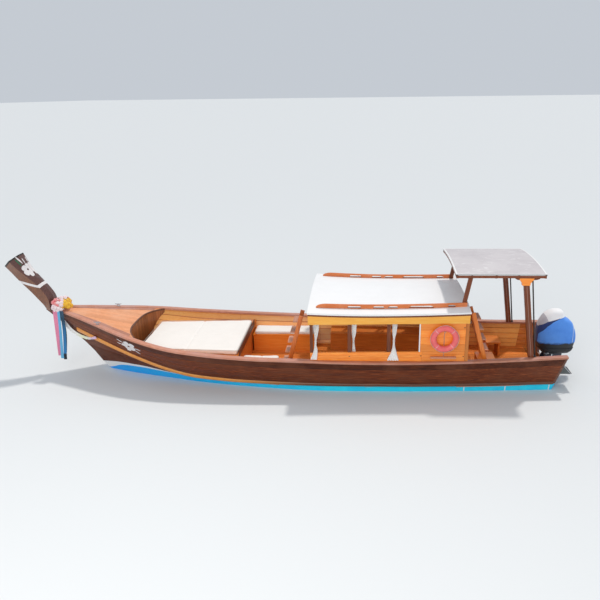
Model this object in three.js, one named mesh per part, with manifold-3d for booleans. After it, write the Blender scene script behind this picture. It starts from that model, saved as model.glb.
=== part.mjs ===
// A wooden longtail boat with a leaning stem head, a sun deck forward, an open-sided cabin,
// a canopy over the cockpit and an outboard motor on the transom.
// Millimetres. +X towards the stern, +Y to starboard, +Z up.
// The origin is on the centreline at the waterline, near the middle of the length.
import * as THREE from 'three';
import * as BufferGeometryUtils from 'three/addons/utils/BufferGeometryUtils.js';
import Module from 'manifold-3d';

const wasm = await Module();
wasm.setup();

// Driving dimensions
const GAP = 0.3;               // clearance kept between touching pieces
const PLANK = 40;              // thickness of the hull's planking
const STEM_WIDTH = 110;        // siding of the stem and keel timbers
const CAP_WIDTH = 135;         // gunwale cap across
const CAP_THICK = 50;
const CAP_OUT = 18;            // how far the cap stands outside the planking
const BOW_X = -3000;           // forward of this the sections lean with the stem
const STERN_X = 5200;          // aft of this they lean with the transom
const TRANSOM_X = 6170;        // inner face of the transom at the gunwale
const TRANSOM_Z = 862;
const TRANSOM_RAKE = 0.30;     // millimetres forward for each millimetre down
const TRANSOM_THICK = 50;
const SOLE_Z = 140;            // top of the sole boards
const SOLE_THICK = 30;

// The hull's lines. Columns: x, half-breadth, height.
const SHEER = [
  [-5600, 165, 1560], [-5410, 240, 1530], [-4870, 490, 1445], [-4590, 620, 1395],
  [-3980, 920, 1285], [-3410, 1150, 1180], [-2610, 1360, 1050], [-1870, 1450, 980],
  [-1150, 1490, 930], [-510, 1500, 900], [170, 1495, 880], [1050, 1490, 850],
  [2380, 1450, 822], [3400, 1385, 815], [3920, 1345, 815], [5150, 1235, 828], [6220, 1150, 862],
];
const RAIL_LINE = [
  [-5230, 120, 1080], [-4620, 410, 930], [-4000, 620, 740], [-3460, 750, 560],
  [-2900, 820, 370], [-2350, 885, 240], [-1580, 985, 180], [-600, 1105, 170],
  [300, 1180, 172], [2400, 1210, 176], [4000, 1160, 180], [6100, 1040, 200],
];
const BOOT_LINE = [
  [-4660, 100, 200], [-4100, 370, 290], [-3600, 550, 300], [-2910, 700, 220],
  [-2350, 830, 175], [-1580, 955, 145], [-600, 1090, 140], [300, 1172, 145],
  [2400, 1202, 150], [4000, 1152, 155], [6100, 1034, 175],
];
const WATER_LINE = [
  [-4480, 98, 0], [-4000, 270, 0], [-3620, 385, 0], [-2950, 565, 0], [-2200, 765, 0],
  [-1590, 890, 0], [-480, 1055, 0], [310, 1150, 0], [2410, 1180, 0], [3460, 1140, 0],
  [4810, 1080, 0], [6000, 1000, 0],
];
const CHINE_LINE = [
  [-4250, 98, -150], [-3600, 290, -165], [-2950, 475, -160], [-2200, 690, -150],
  [-480, 1000, -140], [310, 1090, -135], [2410, 1140, -130], [4810, 1040, -130], [6000, 960, -130],
];
const KEEL_LINE = [
  [-3900, 96, -290], [-3200, 80, -360], [-2200, 70, -395], [0, 70, -400], [4000, 70, -395],
  [6000, 70, -370],
];

// Colours with roughness and metalness
const PAINTS = {
  varnish: [0x5c2f1f, 0.35, 0], cap: [0xb98578, 0.45, 0], deck: [0xe6a172, 0.45, 0],
  orange: [0xd9822f, 0.35, 0], gold: [0xe3a23f, 0.4, 0], rail: [0xf09a32, 0.4, 0],
  white: [0xeeeeea, 0.4, 0], cream: [0xece4da, 0.8, 0], blue: [0x1f9be0, 0.4, 0],
  cloth: [0xf2f0ec, 0.9, 0], ring: [0xf26a80, 0.5, 0], steel: [0xc8ccd0, 0.25, 1],
  cowl: [0x4a86dc, 0.6, 0], black: [0x1c1d20, 0.5, 0], motor: [0x2c3a55, 0.4, 0.2],
  garland: [0xe8a35a, 0.9, 0], ribbon: [0x6aa7d8, 0.8, 0],
};
const paints = Object.fromEntries(Object.entries(PAINTS).map(([name, [color, roughness, metalness]]) =>
  [name, new THREE.MeshStandardMaterial({ name, color, roughness, metalness })]));

const boat = new THREE.Group();

// Solids and meshes
function solid(geometry) {
  let plain = geometry.clone();
  plain.deleteAttribute('normal');
  plain.deleteAttribute('uv');
  plain = BufferGeometryUtils.mergeVertices(plain, 1e-3);
  return new wasm.Manifold(new wasm.Mesh({
    numProp: 3,
    vertProperties: new Float32Array(plain.attributes.position.array),
    triVerts: new Uint32Array(plain.index.array),
  }));
}

function geometryOf(shape) {
  if (shape.isBufferGeometry) return shape;
  const mesh = shape.getMesh();
  const geometry = new THREE.BufferGeometry();
  const places = [];
  for (let v = 0; v < mesh.vertProperties.length; v += mesh.numProp) {
    places.push(...mesh.vertProperties.slice(v, v + 3));
  }
  geometry.setAttribute('position', new THREE.Float32BufferAttribute(places, 3));
  geometry.setIndex([...mesh.triVerts]);
  geometry.computeVertexNormals();
  return geometry;
}

function add(name, shape, paint) {
  const mesh = new THREE.Mesh(geometryOf(shape), paints[paint]);
  mesh.name = name;
  boat.add(mesh);
}

function join(...shapes) {
  return shapes.reduce((all, shape) => all.add(shape));
}

function box(x0, x1, y0, y1, z0, z1) {
  const geometry = new THREE.BoxGeometry(x1 - x0, y1 - y0, z1 - z0);
  return solid(geometry.translate((x0 + x1) / 2, (y0 + y1) / 2, (z0 + z1) / 2));
}

// A closed body from rings of points, all with the same count
function loft(rings) {
  const places = rings.flat().flatMap((p) => [p.x, p.y, p.z]);
  const count = rings[0].length;
  const faces = [];
  for (let i = 0; i + 1 < rings.length; i += 1) {
    for (let j = 0; j < count; j += 1) {
      const k = (j + 1) % count;
      const [a, b, c, d] = [i * count + j, i * count + k, (i + 1) * count + k, (i + 1) * count + j];
      faces.push(a, b, c, a, c, d);
    }
  }
  const last = (rings.length - 1) * count;
  for (let j = 1; j + 1 < count; j += 1) {
    faces.push(0, j + 1, j, last, last + j, last + j + 1);
  }
  const geometry = new THREE.BufferGeometry();
  geometry.setAttribute('position', new THREE.Float32BufferAttribute(places, 3));
  geometry.setIndex(faces);
  const body = solid(geometry);
  if (body.volume() > 0) return body;
  geometry.setIndex(faces.reverse());
  return solid(geometry);
}

// A closed sheet between two grids of points, row by row
function sheet(front, back) {
  const rows = front.length;
  const columns = front[0].length;
  const places = [...front.flat(), ...back.flat()].flatMap((p) => [p.x, p.y, p.z]);
  const at = (side, i, j) => side * rows * columns + i * columns + j;
  const faces = [];
  const quad = (a, b, c, d) => faces.push(a, b, c, a, c, d);
  for (let i = 0; i + 1 < rows; i += 1) {
    for (let j = 0; j + 1 < columns; j += 1) {
      quad(at(0, i, j), at(0, i, j + 1), at(0, i + 1, j + 1), at(0, i + 1, j));
      faces.push(at(1, i, j), at(1, i + 1, j + 1), at(1, i, j + 1));
      faces.push(at(1, i, j), at(1, i + 1, j), at(1, i + 1, j + 1));
    }
    quad(at(0, i, 0), at(0, i + 1, 0), at(1, i + 1, 0), at(1, i, 0));
    const e = columns - 1;
    quad(at(0, i, e), at(1, i, e), at(1, i + 1, e), at(0, i + 1, e));
  }
  const f = rows - 1;
  for (let j = 0; j + 1 < columns; j += 1) {
    quad(at(0, 0, j), at(1, 0, j), at(1, 0, j + 1), at(0, 0, j + 1));
    quad(at(0, f, j), at(0, f, j + 1), at(1, f, j + 1), at(1, f, j));
  }
  const geometry = new THREE.BufferGeometry();
  geometry.setAttribute('position', new THREE.Float32BufferAttribute(places, 3));
  geometry.setIndex(faces);
  const body = solid(geometry);
  if (body.volume() > 0) return body;
  geometry.setIndex(faces.reverse());
  return solid(geometry);
}

// A flat outline in one plane, given a thickness along the third axis
function extrude(outline, depth) {
  const shape = new THREE.Shape(outline.map(([u, v]) => new THREE.Vector2(u, v)));
  return new THREE.ExtrudeGeometry(shape, { depth, bevelEnabled: false });
}

// Outline in x and z, from y0 to y1
function slabXZ(outline, y0, y1) {
  const geometry = extrude(outline, y1 - y0);
  return solid(geometry.rotateX(Math.PI / 2).translate(0, y1, 0));
}

// Outline in y and z, from x0 to x1
function slabYZ(outline, x0, x1) {
  const geometry = extrude(outline, x1 - x0);
  return solid(geometry.rotateX(Math.PI / 2).rotateZ(Math.PI / 2).translate(x0, 0, 0));
}

// Outline in x and y, from z0 to z1
function slabXY(outline, z0, z1) {
  return solid(extrude(outline, z1 - z0).translate(0, 0, z0));
}

// A round bar between two points
function bar(from, to, radius, sides = 12) {
  const a = new THREE.Vector3(...from);
  const b = new THREE.Vector3(...to);
  const geometry = new THREE.CylinderGeometry(radius, radius, a.distanceTo(b), sides);
  const turn = new THREE.Quaternion().setFromUnitVectors(new THREE.Vector3(0, 1, 0),
    b.clone().sub(a).normalize());
  geometry.applyQuaternion(turn);
  return solid(geometry.translate((a.x + b.x) / 2, (a.y + b.y) / 2, (a.z + b.z) / 2));
}

// A square-edged beam between two points, wide across y and thick along its own height
function beam(from, to, width, thick) {
  const [x0, y0, z0] = from;
  const [x1, y1, z1] = to;
  const along = new THREE.Vector3(x1 - x0, y1 - y0, z1 - z0);
  const side = new THREE.Vector3(0, 1, 0);
  const up = along.clone().cross(side).normalize();
  const ring = (x, y, z) => [[-1, -1], [1, -1], [1, 1], [-1, 1]].map(([s, t]) =>
    new THREE.Vector3(x, y, z).addScaledVector(side, s * width / 2).addScaledVector(up, t * thick / 2));
  return loft([ring(x0, y0, z0), ring(x1, y1, z1)]);
}

function mirrorY(body) {
  return body.mirror([0, 1, 0]);
}

// A smooth curve through a table's rows that never overshoots them
function curve(table, column) {
  const xs = table.map((row) => row[0]);
  const ys = table.map((row) => row[column]);
  const steps = xs.slice(1).map((x, i) => (ys[i + 1] - ys[i]) / (x - xs[i]));
  const slopes = xs.map((_, i) => {
    if (i === 0) return steps[0];
    if (i === xs.length - 1) return steps[i - 1];
    if (steps[i - 1] * steps[i] <= 0) return 0;
    const [h0, h1] = [xs[i] - xs[i - 1], xs[i + 1] - xs[i]];
    return (steps[i - 1] * h1 + steps[i] * h0) / (h0 + h1);
  });
  return (x) => {
    let i = xs.findIndex((edge, k) => k > 0 && x <= edge);
    if (i < 0) i = xs.length - 1;
    const h = xs[i] - xs[i - 1];
    const t = (x - xs[i - 1]) / h;
    if (t < 0) return ys[0] + slopes[0] * (x - xs[0]);
    if (t > 1) return ys[i] + slopes[i] * (x - xs[i]);
    const [a, b] = [slopes[i - 1] * h, slopes[i] * h];
    return ys[i - 1] + t * (a + t * (3 * (ys[i] - ys[i - 1]) - 2 * a - b
      + t * (2 * (ys[i - 1] - ys[i]) + a + b)));
  };
}

// Hull surface
const sheerY = curve(SHEER, 1);
const sheerZ = curve(SHEER, 2);
const gunwale = SHEER.map(([x, y, z]) => [x, y - CAP_OUT, z - CAP_THICK]);
const LEVELS = [gunwale, RAIL_LINE, BOOT_LINE, WATER_LINE, CHINE_LINE, KEEL_LINE];
const BOOT_ROW = 2;            // the level where the side ends and the bottom begins
const levels = LEVELS.map((table) => ({
  start: table[0][0], y: curve(table, 1), z: curve(table, 2),
}));
const STATIONS = [];
for (let i = 0; i <= 12; i += 1) STATIONS.push(-5600 + (BOW_X + 5600) * i / 12);
for (let i = 1; i <= 16; i += 1) STATIONS.push(BOW_X + (STERN_X - BOW_X) * i / 16);
for (let i = 1; i <= 2; i += 1) STATIONS.push(STERN_X + (TRANSOM_X - STERN_X) * i / 2);

function transomX(z) {
  return TRANSOM_X - TRANSOM_RAKE * (TRANSOM_Z - z);
}

// The point of one level at a station: stations lean with the stem and with the transom
function hullPoint(level, station) {
  let x = station;
  if (station < BOW_X) x = BOW_X + (station - BOW_X) * (BOW_X - level.start) / (BOW_X + 5600);
  if (station > STERN_X) {
    const end = transomX(level.z(TRANSOM_X - 150)) + 30;
    x = STERN_X + (station - STERN_X) * (end - STERN_X) / (TRANSOM_X - STERN_X);
  }
  return new THREE.Vector3(x, level.y(x), level.z(x));
}

const skin = STATIONS.map((station) => levels.map((level) => hullPoint(level, station)));
const outward = skin.map((row, i) => row.map((point, j) => {
  const ahead = skin[Math.max(i - 1, 0)][j];
  const behind = skin[Math.min(i + 1, skin.length - 1)][j];
  const above = row[Math.max(j - 1, 0)];
  const below = j === row.length - 1
    ? new THREE.Vector3(point.x, -row[j - 1].y, row[j - 1].z) : row[j + 1];
  return behind.clone().sub(ahead).cross(below.clone().sub(above)).normalize().negate();
}));
const facing = Math.sign(outward[15][1].y);

// The surface moved outwards by a distance, kept off the stem timber
function skinAt(distance) {
  return skin.map((row, i) => row.map((point, j) => {
    const moved = point.clone().addScaledVector(outward[i][j], facing * distance);
    moved.x = point.x;
    if (j === 0) moved.z = point.z;
    moved.y = Math.max(moved.y, STEM_WIDTH / 2 + GAP);
    return moved;
  }));
}

function rowsOf(grid, from, to) {
  return grid.map((row) => row.slice(from, to + 1));
}

// A solid within the skin moved by a distance, closed above the sheer, both sides alike
const LID = 900;
function hullSolid(distance) {
  const half = loft(skinAt(distance).map((row) => {
    const [top, low] = [row[0], row[row.length - 1]];
    return [
      new THREE.Vector3(top.x, -5, top.z + LID), new THREE.Vector3(top.x, top.y, top.z + LID), ...row,
      new THREE.Vector3(low.x, -5, low.z),
    ];
  }));
  return half.add(mirrorY(half));
}

// A half-space aft of the transom's inner face
function aftOf(distance) {
  const [deep, high] = [-1500, 1500];
  return slabXZ([[transomX(deep) + distance, deep], [8000, deep], [8000, high],
    [transomX(high) + distance, high]], -2000, 2000);
}

const outer = skinAt(0);
const inner = skinAt(-PLANK);
const aftSpace = aftOf(-GAP);
const starboardSide = sheet(rowsOf(outer, 0, BOOT_ROW), rowsOf(inner, 0, BOOT_ROW)).subtract(aftSpace);
add('hull_side_starboard', starboardSide, 'varnish');
add('hull_side_port', mirrorY(starboardSide), 'varnish');

function bottomHalf(grid) {
  return rowsOf(grid, BOOT_ROW, levels.length - 1).map((row) => {
    row[0] = row[0].clone().add(new THREE.Vector3(0, 0, -GAP));
    return row;
  });
}
const starboardBottom = sheet(bottomHalf(outer), bottomHalf(inner)).subtract(aftSpace);
add('hull_bottom_starboard', starboardBottom, 'blue');
add('hull_bottom_port', mirrorY(starboardBottom), 'blue');

const inside = hullSolid(-PLANK - GAP).subtract(aftSpace);

// Keel and stem timber, between the planks. Columns: x, z.
const STEM_FRONT = [
  [-5960, 1600], [-5930, 1540], [-5500, 1140], [-5070, 700], [-4650, 190], [-4490, 20],
  [-4260, -190], [-3900, -330], [-3200, -420], [-2200, -460], [4500, -460], [5850, -430],
];
const STEM_BACK = [
  [5870, -330], [4000, -350], [0, -355], [-2200, -350], [-3150, -310], [-3700, -230],
  [-4050, -80], [-4300, 90], [-4850, 750], [-5250, 1180], [-5480, 1420], [-5560, 1500],
];
const HEAD_BASE_Z = 1520;
const timber = slabXZ([...STEM_FRONT, ...STEM_BACK], -STEM_WIDTH / 2, STEM_WIDTH / 2);
add('stem_and_keel', timber.subtract(aftSpace)
  .subtract(box(-6200, -5400, -400, 400, HEAD_BASE_Z - GAP, 2000)), 'varnish');

// Stem head: a ridge along the middle of each side, from its foot to its top.
// Columns: x and z of the front edge, of the ridge and of the aft edge, then the ridge's half-breadth.
const HEAD = [
  [-5880, HEAD_BASE_Z, -5740, HEAD_BASE_Z, -5620, HEAD_BASE_Z, 165], [-5945, 1640, -5740, 1770, -5660, 1835, 170],
  [-6060, 1790, -5820, 1950, -5755, 2025, 172], [-6180, 1950, -5930, 2138, -5890, 2205, 180],
  [-6410, 2230, -6180, 2405, -6110, 2488, 212], [-6560, 2440, -6348, 2600, -6230, 2715, 245],
  [-6690, 2610, -6480, 2770, -6312, 2885, 272],
];
const HEAD_EDGE = 0.4;         // half-breadth of the front and aft edges, as a share of the ridge's
const headRings = HEAD.map(([frontX, frontZ, ridgeX, ridgeZ, aftX, aftZ, half]) => [
  new THREE.Vector3(aftX, -half * HEAD_EDGE, aftZ), new THREE.Vector3(ridgeX, -half, ridgeZ),
  new THREE.Vector3(frontX, -half * HEAD_EDGE, frontZ), new THREE.Vector3(frontX, half * HEAD_EDGE, frontZ),
  new THREE.Vector3(ridgeX, half, ridgeZ), new THREE.Vector3(aftX, half * HEAD_EDGE, aftZ),
]);
const head = loft(headRings);
add('stem_head', head, 'varnish');
const headCutter = loft(headRings.map((ring) => {
  const middle = ring.reduce((sum, p) => sum.clone().add(p), new THREE.Vector3()).multiplyScalar(1 / ring.length);
  return ring.map((p) => p.clone().add(p.clone().sub(middle).normalize().multiplyScalar(GAP * 2)));
}));

// Gunwale caps, laid on the planks' top edges
function capRing(x, low, high, grow = 0) {
  const [y, z] = [sheerY(x) + grow, sheerZ(x)];
  const inner = Math.max(y - CAP_WIDTH - 2 * grow, 20 - grow);
  return [
    new THREE.Vector3(x, inner, z + low), new THREE.Vector3(x, y, z + low),
    new THREE.Vector3(x, y, z + high), new THREE.Vector3(x, inner, z + high),
  ];
}
const CAP_STATIONS = STATIONS.filter((x) => x > -5560 && x < TRANSOM_X).concat([6215]);
CAP_STATIONS.unshift(-5560);
const capBody = loft(CAP_STATIONS.map((x) => capRing(x, -CAP_THICK + GAP, 0)));
const capSeat = loft(CAP_STATIONS.map((x) => capRing(x, -CAP_THICK, 400)));
const capCutter = loft(CAP_STATIONS.map((x) => capRing(x, -CAP_THICK, GAP, GAP)));
const cap = capBody.subtract(head);
add('gunwale_cap_starboard', cap, 'cap');
add('gunwale_cap_port', mirrorY(cap), 'cap');

// Transom with the motor's cut-out, whose shoulders slope up to the caps
const CUTOUT = { half: 400, shoulder: 975, top: 860 };
const CUTOUT_Z = 300;
const transomBack = (z) => transomX(z) + TRANSOM_THICK;
function transomRing(x0, x1) {
  const points = levels.map((level) => {
    const p = hullPoint(level, TRANSOM_X);
    return [p.y, p.z];
  });
  points[0] = [points[0][0], points[0][1] + 4];
  return [x0, x1].map((shift) => {
    const half = points.map(([y, z]) => new THREE.Vector3(transomX(z) + shift, y, z));
    return [...half, ...half.map((p) => new THREE.Vector3(p.x, -p.y, p.z)).reverse()];
  });
}
const transom = loft(transomRing(GAP, TRANSOM_THICK))
  .subtract(slabYZ([[-CUTOUT.half, CUTOUT_Z], [CUTOUT.half, CUTOUT_Z], [CUTOUT.shoulder, CUTOUT.top],
    [CUTOUT.shoulder, 1500], [-CUTOUT.shoulder, 1500], [-CUTOUT.shoulder, CUTOUT.top]], 5500, 6500))
  .subtract(capSeat).subtract(mirrorY(capSeat));
add('transom', transom, 'varnish');

// Rub rails outside the planking, taller towards the bow. Columns: x, height.
const railHigh = curve([[-5230, 130], [-3400, 112], [-600, 88], [6100, 80]], 1);
const RAIL_OUT = 34;
const railLevel = levels[1];
const railStations = STATIONS.map((station) => hullPoint(railLevel, station).x);
const railBody = loft(railStations.map((x) => {
  const [y, z, half] = [railLevel.y(x), railLevel.z(x), railHigh(x) / 2];
  return [
    new THREE.Vector3(x, y - 30, z - half), new THREE.Vector3(x, y + RAIL_OUT, z - half),
    new THREE.Vector3(x, y + RAIL_OUT + 8, z + half), new THREE.Vector3(x, y - 30, z + half),
  ];
}));
const hullEnvelope = hullSolid(GAP);
const RAIL_START = -5172;
const rail = railBody.subtract(hullEnvelope).subtract(aftSpace).subtract(box(-6000, RAIL_START, -500, 500, 0, 2000));
add('rub_rail_starboard', rail, 'rail');
add('rub_rail_port', mirrorY(rail), 'rail');

// Foredeck and the curved bulkhead at its aft edge
const DECK_DROP = 22;          // the deck's top below the caps' top
const DECK_THICK = 30;
const COAMING_X = -3735;       // the arc's forward point, on the centreline
const COAMING_SWEEP = 250;     // how far its ends lie aft of that
const COAMING_HALF = 930;
function coamingX(y) {
  return COAMING_X + COAMING_SWEEP * Math.abs(y / COAMING_HALF) ** 3;
}
const deckRows = [];
for (let i = 0; i <= 10; i += 1) deckRows.push(-5540 + (COAMING_X + 5540) * i / 10);
function deckGrid(drop) {
  const across = [-1, -0.75, -0.5, -0.25, 0, 0.25, 0.5, 0.75, 1];
  return [...deckRows, null].map((x) => across.map((t) => {
    const base = x ?? COAMING_X + COAMING_SWEEP;
    const half = Math.max(sheerY(base) - CAP_WIDTH + 30, 40);
    const y = t * half;
    const place = x === null ? Math.max(coamingX(y), COAMING_X + 1) : x;
    return new THREE.Vector3(place, y, sheerZ(place) - drop);
  }));
}
const capWide = loft(CAP_STATIONS.map((x) => capRing(x, -400, 400, GAP)));
add('foredeck', sheet(deckGrid(DECK_DROP), deckGrid(DECK_DROP + DECK_THICK)).subtract(headCutter)
  .subtract(capWide).subtract(mirrorY(capWide)).intersect(inside), 'deck');

const BULKHEAD_THICK = 30;
function bulkheadPoints(shift) {
  const rows = [];
  for (let i = 0; i <= 12; i += 1) {
    const y = -1100 + 2200 * i / 12;
    const x = coamingX(y) - BULKHEAD_THICK + shift;
    const top = sheerZ(x) - DECK_DROP - DECK_THICK - 2;
    rows.push([new THREE.Vector3(x, y, SOLE_Z + GAP), new THREE.Vector3(x, y, top)]);
  }
  return rows;
}
// Everything forward of the bulkhead's aft face, moved aft by a distance
function bulkheadPlan(distance) {
  const arc = [];
  for (let i = 0; i <= 12; i += 1) {
    const y = -1100 + 2200 * i / 12;
    arc.push([coamingX(y) + distance, y]);
  }
  return [...arc, [-5000, 1100], [-5000, -1100]];
}
const bulkhead = sheet(bulkheadPoints(0), bulkheadPoints(BULKHEAD_THICK)).intersect(inside);
add('well_bulkhead', bulkhead, 'varnish');

// Sole boards over the bottom
const sole = box(-3550, 5850, -1300, 1300, SOLE_Z - SOLE_THICK, SOLE_Z).intersect(inside);
add('sole', sole, 'orange');

// Raised platform with the sun pad
const PLATFORM = { x0: -3420, x1: -1060, top: 770, thick: 40, pad: 125, edge: 18 };
const platformTop = box(PLATFORM.x0, PLATFORM.x1, -1300, 1300, PLATFORM.top - PLATFORM.thick, PLATFORM.top);
const platformFace = box(PLATFORM.x1 - 60, PLATFORM.x1 - 30, -1300, 1300, SOLE_Z + GAP, PLATFORM.top - 20);
const platformMid = box(-2300, -2270, -1300, 1300, SOLE_Z + GAP, PLATFORM.top - 20);
// A dark board holds the pad's aft edge
const padBoard = box(PLATFORM.x1 - PLATFORM.edge, PLATFORM.x1, -1000, 1000, PLATFORM.top - 20,
  PLATFORM.top + PLATFORM.pad - 8);
add('lounge_platform', join(platformTop, platformFace, platformMid, padBoard).intersect(inside)
  .subtract(slabXY(bulkheadPlan(GAP), 0, 1500)), 'orange');
// The pad's half-width grows aft, and its forward edge follows the bulkhead
const PAD = { x0: -3470, x1: PLATFORM.x1 - PLATFORM.edge - GAP, half0: 900, half1: 990 };
const padOutline = [[PAD.x1, PAD.half1], [PAD.x0, PAD.half0], [PAD.x0, -PAD.half0], [PAD.x1, -PAD.half1]];
add('sun_pad', slabXY(padOutline, PLATFORM.top + GAP, PLATFORM.top + PLATFORM.pad)
  .subtract(slabXY(bulkheadPlan(6), 0, 1500)).intersect(hullSolid(-PLANK - 8)), 'cream');

// Side benches with cushions, between the platform and the cabin
const BENCH = { x0: -1060, x1: 520, y0: 700, top: 590, thick: 35, cushion: 85 };
const BENCH_SIDES = [['starboard', 1], ['port', -1]];
const benchSeat = box(BENCH.x0, BENCH.x1, BENCH.y0, 1500, BENCH.top - BENCH.thick, BENCH.top);
const benchFront = box(BENCH.x0, BENCH.x1, BENCH.y0 + 15, BENCH.y0 + 45, SOLE_Z + GAP, BENCH.top - 10);
const bench = join(benchSeat, benchFront).intersect(inside);
const benchCushion = box(BENCH.x0 + 10, BENCH.x1 - 10, BENCH.y0 + 5, 1195, BENCH.top + GAP,
  BENCH.top + BENCH.cushion).intersect(hullSolid(-PLANK - 8));
// The port bench stops short of the ladder
const PORT_BENCH_X1 = -170;
for (const [side, sign] of BENCH_SIDES) {
  const short = (body, x1) => mirrorY(body).subtract(box(x1, 600, -2000, 0, 0, 2000));
  add(`bench_${side}`, sign > 0 ? bench : short(bench, PORT_BENCH_X1), 'orange');
  add(`bench_cushion_${side}`, sign > 0 ? benchCushion : short(benchCushion, PORT_BENCH_X1 - 10), 'cream');
}

// Cabin. Its side walls stand on the caps and draw in towards the stern.
const CABIN = { x0: 580, x1: 4000, y0: 1425, y1: 1292, wall: 40, sill: 1045, head: 1730, eave: 1890 };
const cabinAngle = Math.atan2(CABIN.y0 - CABIN.y1, CABIN.x1 - CABIN.x0);
function cabinY(x) {
  return CABIN.y0 + (CABIN.y1 - CABIN.y0) * (x - CABIN.x0) / (CABIN.x1 - CABIN.x0);
}
const EAVE_LINE = { low: 2200, fore: 52, aft: 28, span: 1700 };  // lowest point, rise 1700 mm before and behind it
const UNDER_ROOF = 20;        // boards are made this much too high, then cut to the roof
function eaveZ(x) {
  const rise = x < EAVE_LINE.low ? EAVE_LINE.fore : EAVE_LINE.aft;
  return CABIN.eave + rise * ((x - EAVE_LINE.low) / EAVE_LINE.span) ** 2;
}
const CABIN_STEPS = [0, 0.125, 0.25, 0.375, 0.5, 0.625, 0.75, 0.875, 1].map((t) =>
  CABIN.x0 + t * (CABIN.x1 - CABIN.x0));
// Windows. Columns: forward edge, aft edge.
const WINDOWS = [[650, 1392], [1472, 2240], [2320, 2930]];

// A wall panel that follows the cabin's side, from a lower to an upper line
function sideBoard(xs, lowZ, highZ, outset, thick) {
  const rows = (depth) => xs.map((x) => [
    new THREE.Vector3(x, cabinY(x) + outset - depth, lowZ(x)),
    new THREE.Vector3(x, cabinY(x) + outset - depth, highZ(x)),
  ]);
  return sheet(rows(0), rows(thick));
}
let cabinSide = sideBoard(CABIN_STEPS, (x) => sheerZ(x) + GAP, (x) => eaveZ(x) + UNDER_ROOF, 0, CABIN.wall);
for (const [x0, x1] of WINDOWS) {
  cabinSide = cabinSide.subtract(box(x0, x1, 1000, 1600, CABIN.sill, CABIN.head));
}
cabinSide = cabinSide.subtract(capCutter);

// Fascia boards outside the window heads
const FASCIA = { thick: 28, low: 1700, out: 29, ahead: 30 };
const fascia = sideBoard(CABIN_STEPS.map((x) => x - FASCIA.ahead * (x === CABIN.x0)), () => FASCIA.low,
  (x) => eaveZ(x) + UNDER_ROOF, FASCIA.out, FASCIA.thick);

// Roof with camber, and the boards along its edges
const ROOF = { x0: 535, x1: 4015, over: 45, thick: 38, camber: 95 };
function roofZ(x, t) {
  return eaveZ(x) + ROOF.camber * (1 - t * t);
}
const ACROSS = [-1, -0.8, -0.6, -0.4, -0.2, 0, 0.2, 0.4, 0.6, 0.8, 1];
function roofGrid(rise) {
  return [ROOF.x0, ...CABIN_STEPS, ROOF.x1].map((x) => ACROSS.map((t) =>
    new THREE.Vector3(x, t * (cabinY(x) + ROOF.over), roofZ(x, t) + rise)));
}
add('cabin_roof', sheet(roofGrid(ROOF.thick), roofGrid(0)), 'white');
const fromRoofUp = sheet(roofGrid(400), roofGrid(-GAP));

const RAIL_BOARD = { x0: 710, x1: 3960, in: 220, thick: 28, high: 105, base: 26 };
// Arched openings in the roof rail. Columns: forward edge, aft edge.
const RAIL_OPENINGS = [[1370, 1700], [1930, 2190], [2250, 2480], [2700, 3250], [3540, 3720]];
function railBoard() {
  const xs = [RAIL_BOARD.x0, ...CABIN_STEPS.filter((x) => x > 800 && x < 3900), RAIL_BOARD.x1];
  const t = 1 - RAIL_BOARD.in / 1400;
  let board = sideBoard(xs, (x) => roofZ(x, t) + ROOF.thick + 8, (x) => roofZ(x, t) + ROOF.thick + RAIL_BOARD.high,
    -RAIL_BOARD.in, RAIL_BOARD.thick);
  for (const [x0, x1] of RAIL_OPENINGS) {
    const low = roofZ((x0 + x1) / 2, t) + ROOF.thick + RAIL_BOARD.base;
    const arch = [[x0, low], [x1, low], [x1 - 25, low + 42], [(x0 + x1) / 2, low + 54], [x0 + 25, low + 42]];
    board = board.subtract(slabXZ(arch, 1000, 1400));
  }
  const roofCutter = sheet(roofGrid(ROOF.thick + GAP), roofGrid(-40));
  return board.subtract(roofCutter);
}
const roofRail = railBoard();
for (const [side, sign] of BENCH_SIDES) {
  const turn = (body) => (sign > 0 ? body : mirrorY(body));
  add(`cabin_side_${side}`, turn(cabinSide.subtract(fromRoofUp)), 'orange');
  add(`fascia_${side}`, turn(fascia.subtract(fromRoofUp)), 'gold');
  add(`roof_rail_${side}`, turn(roofRail), 'orange');
}

// Frames across the cabin's two ends
const FRAME_DROP = 150;       // the openings' heads below the eaves
function endFrame(x0, x1, openHalf) {
  const half = cabinY(x0) - CABIN.wall - 4;
  const xm = (x0 + x1) / 2;
  const outline = [[-half, SOLE_Z + GAP], [half, SOLE_Z + GAP]];
  for (const t of ACROSS.slice().reverse()) outline.push([t * half, roofZ(xm, t) + UNDER_ROOF]);
  const panel = slabYZ(outline, x0, x1).subtract(fromRoofUp);
  return panel.subtract(box(x0 - 50, x1 + 50, -openHalf, openHalf, 0, CABIN.eave - FRAME_DROP));
}
const frontFrame = endFrame(600, 640, 1330);
const aftFrame = endFrame(3950, 3990, 420);
function fitInHull(body) {
  const low = body.intersect(box(-9000, 9000, -3000, 3000, -1000, 700)).intersect(inside);
  const high = body.intersect(box(-9000, 9000, -3000, 3000, 700, 3000));
  return join(low, high).subtract(capCutter).subtract(mirrorY(capCutter));
}
add('cabin_front_frame', fitInHull(frontFrame), 'orange');
add('cabin_aft_bulkhead', fitInHull(aftFrame), 'orange');

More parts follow.
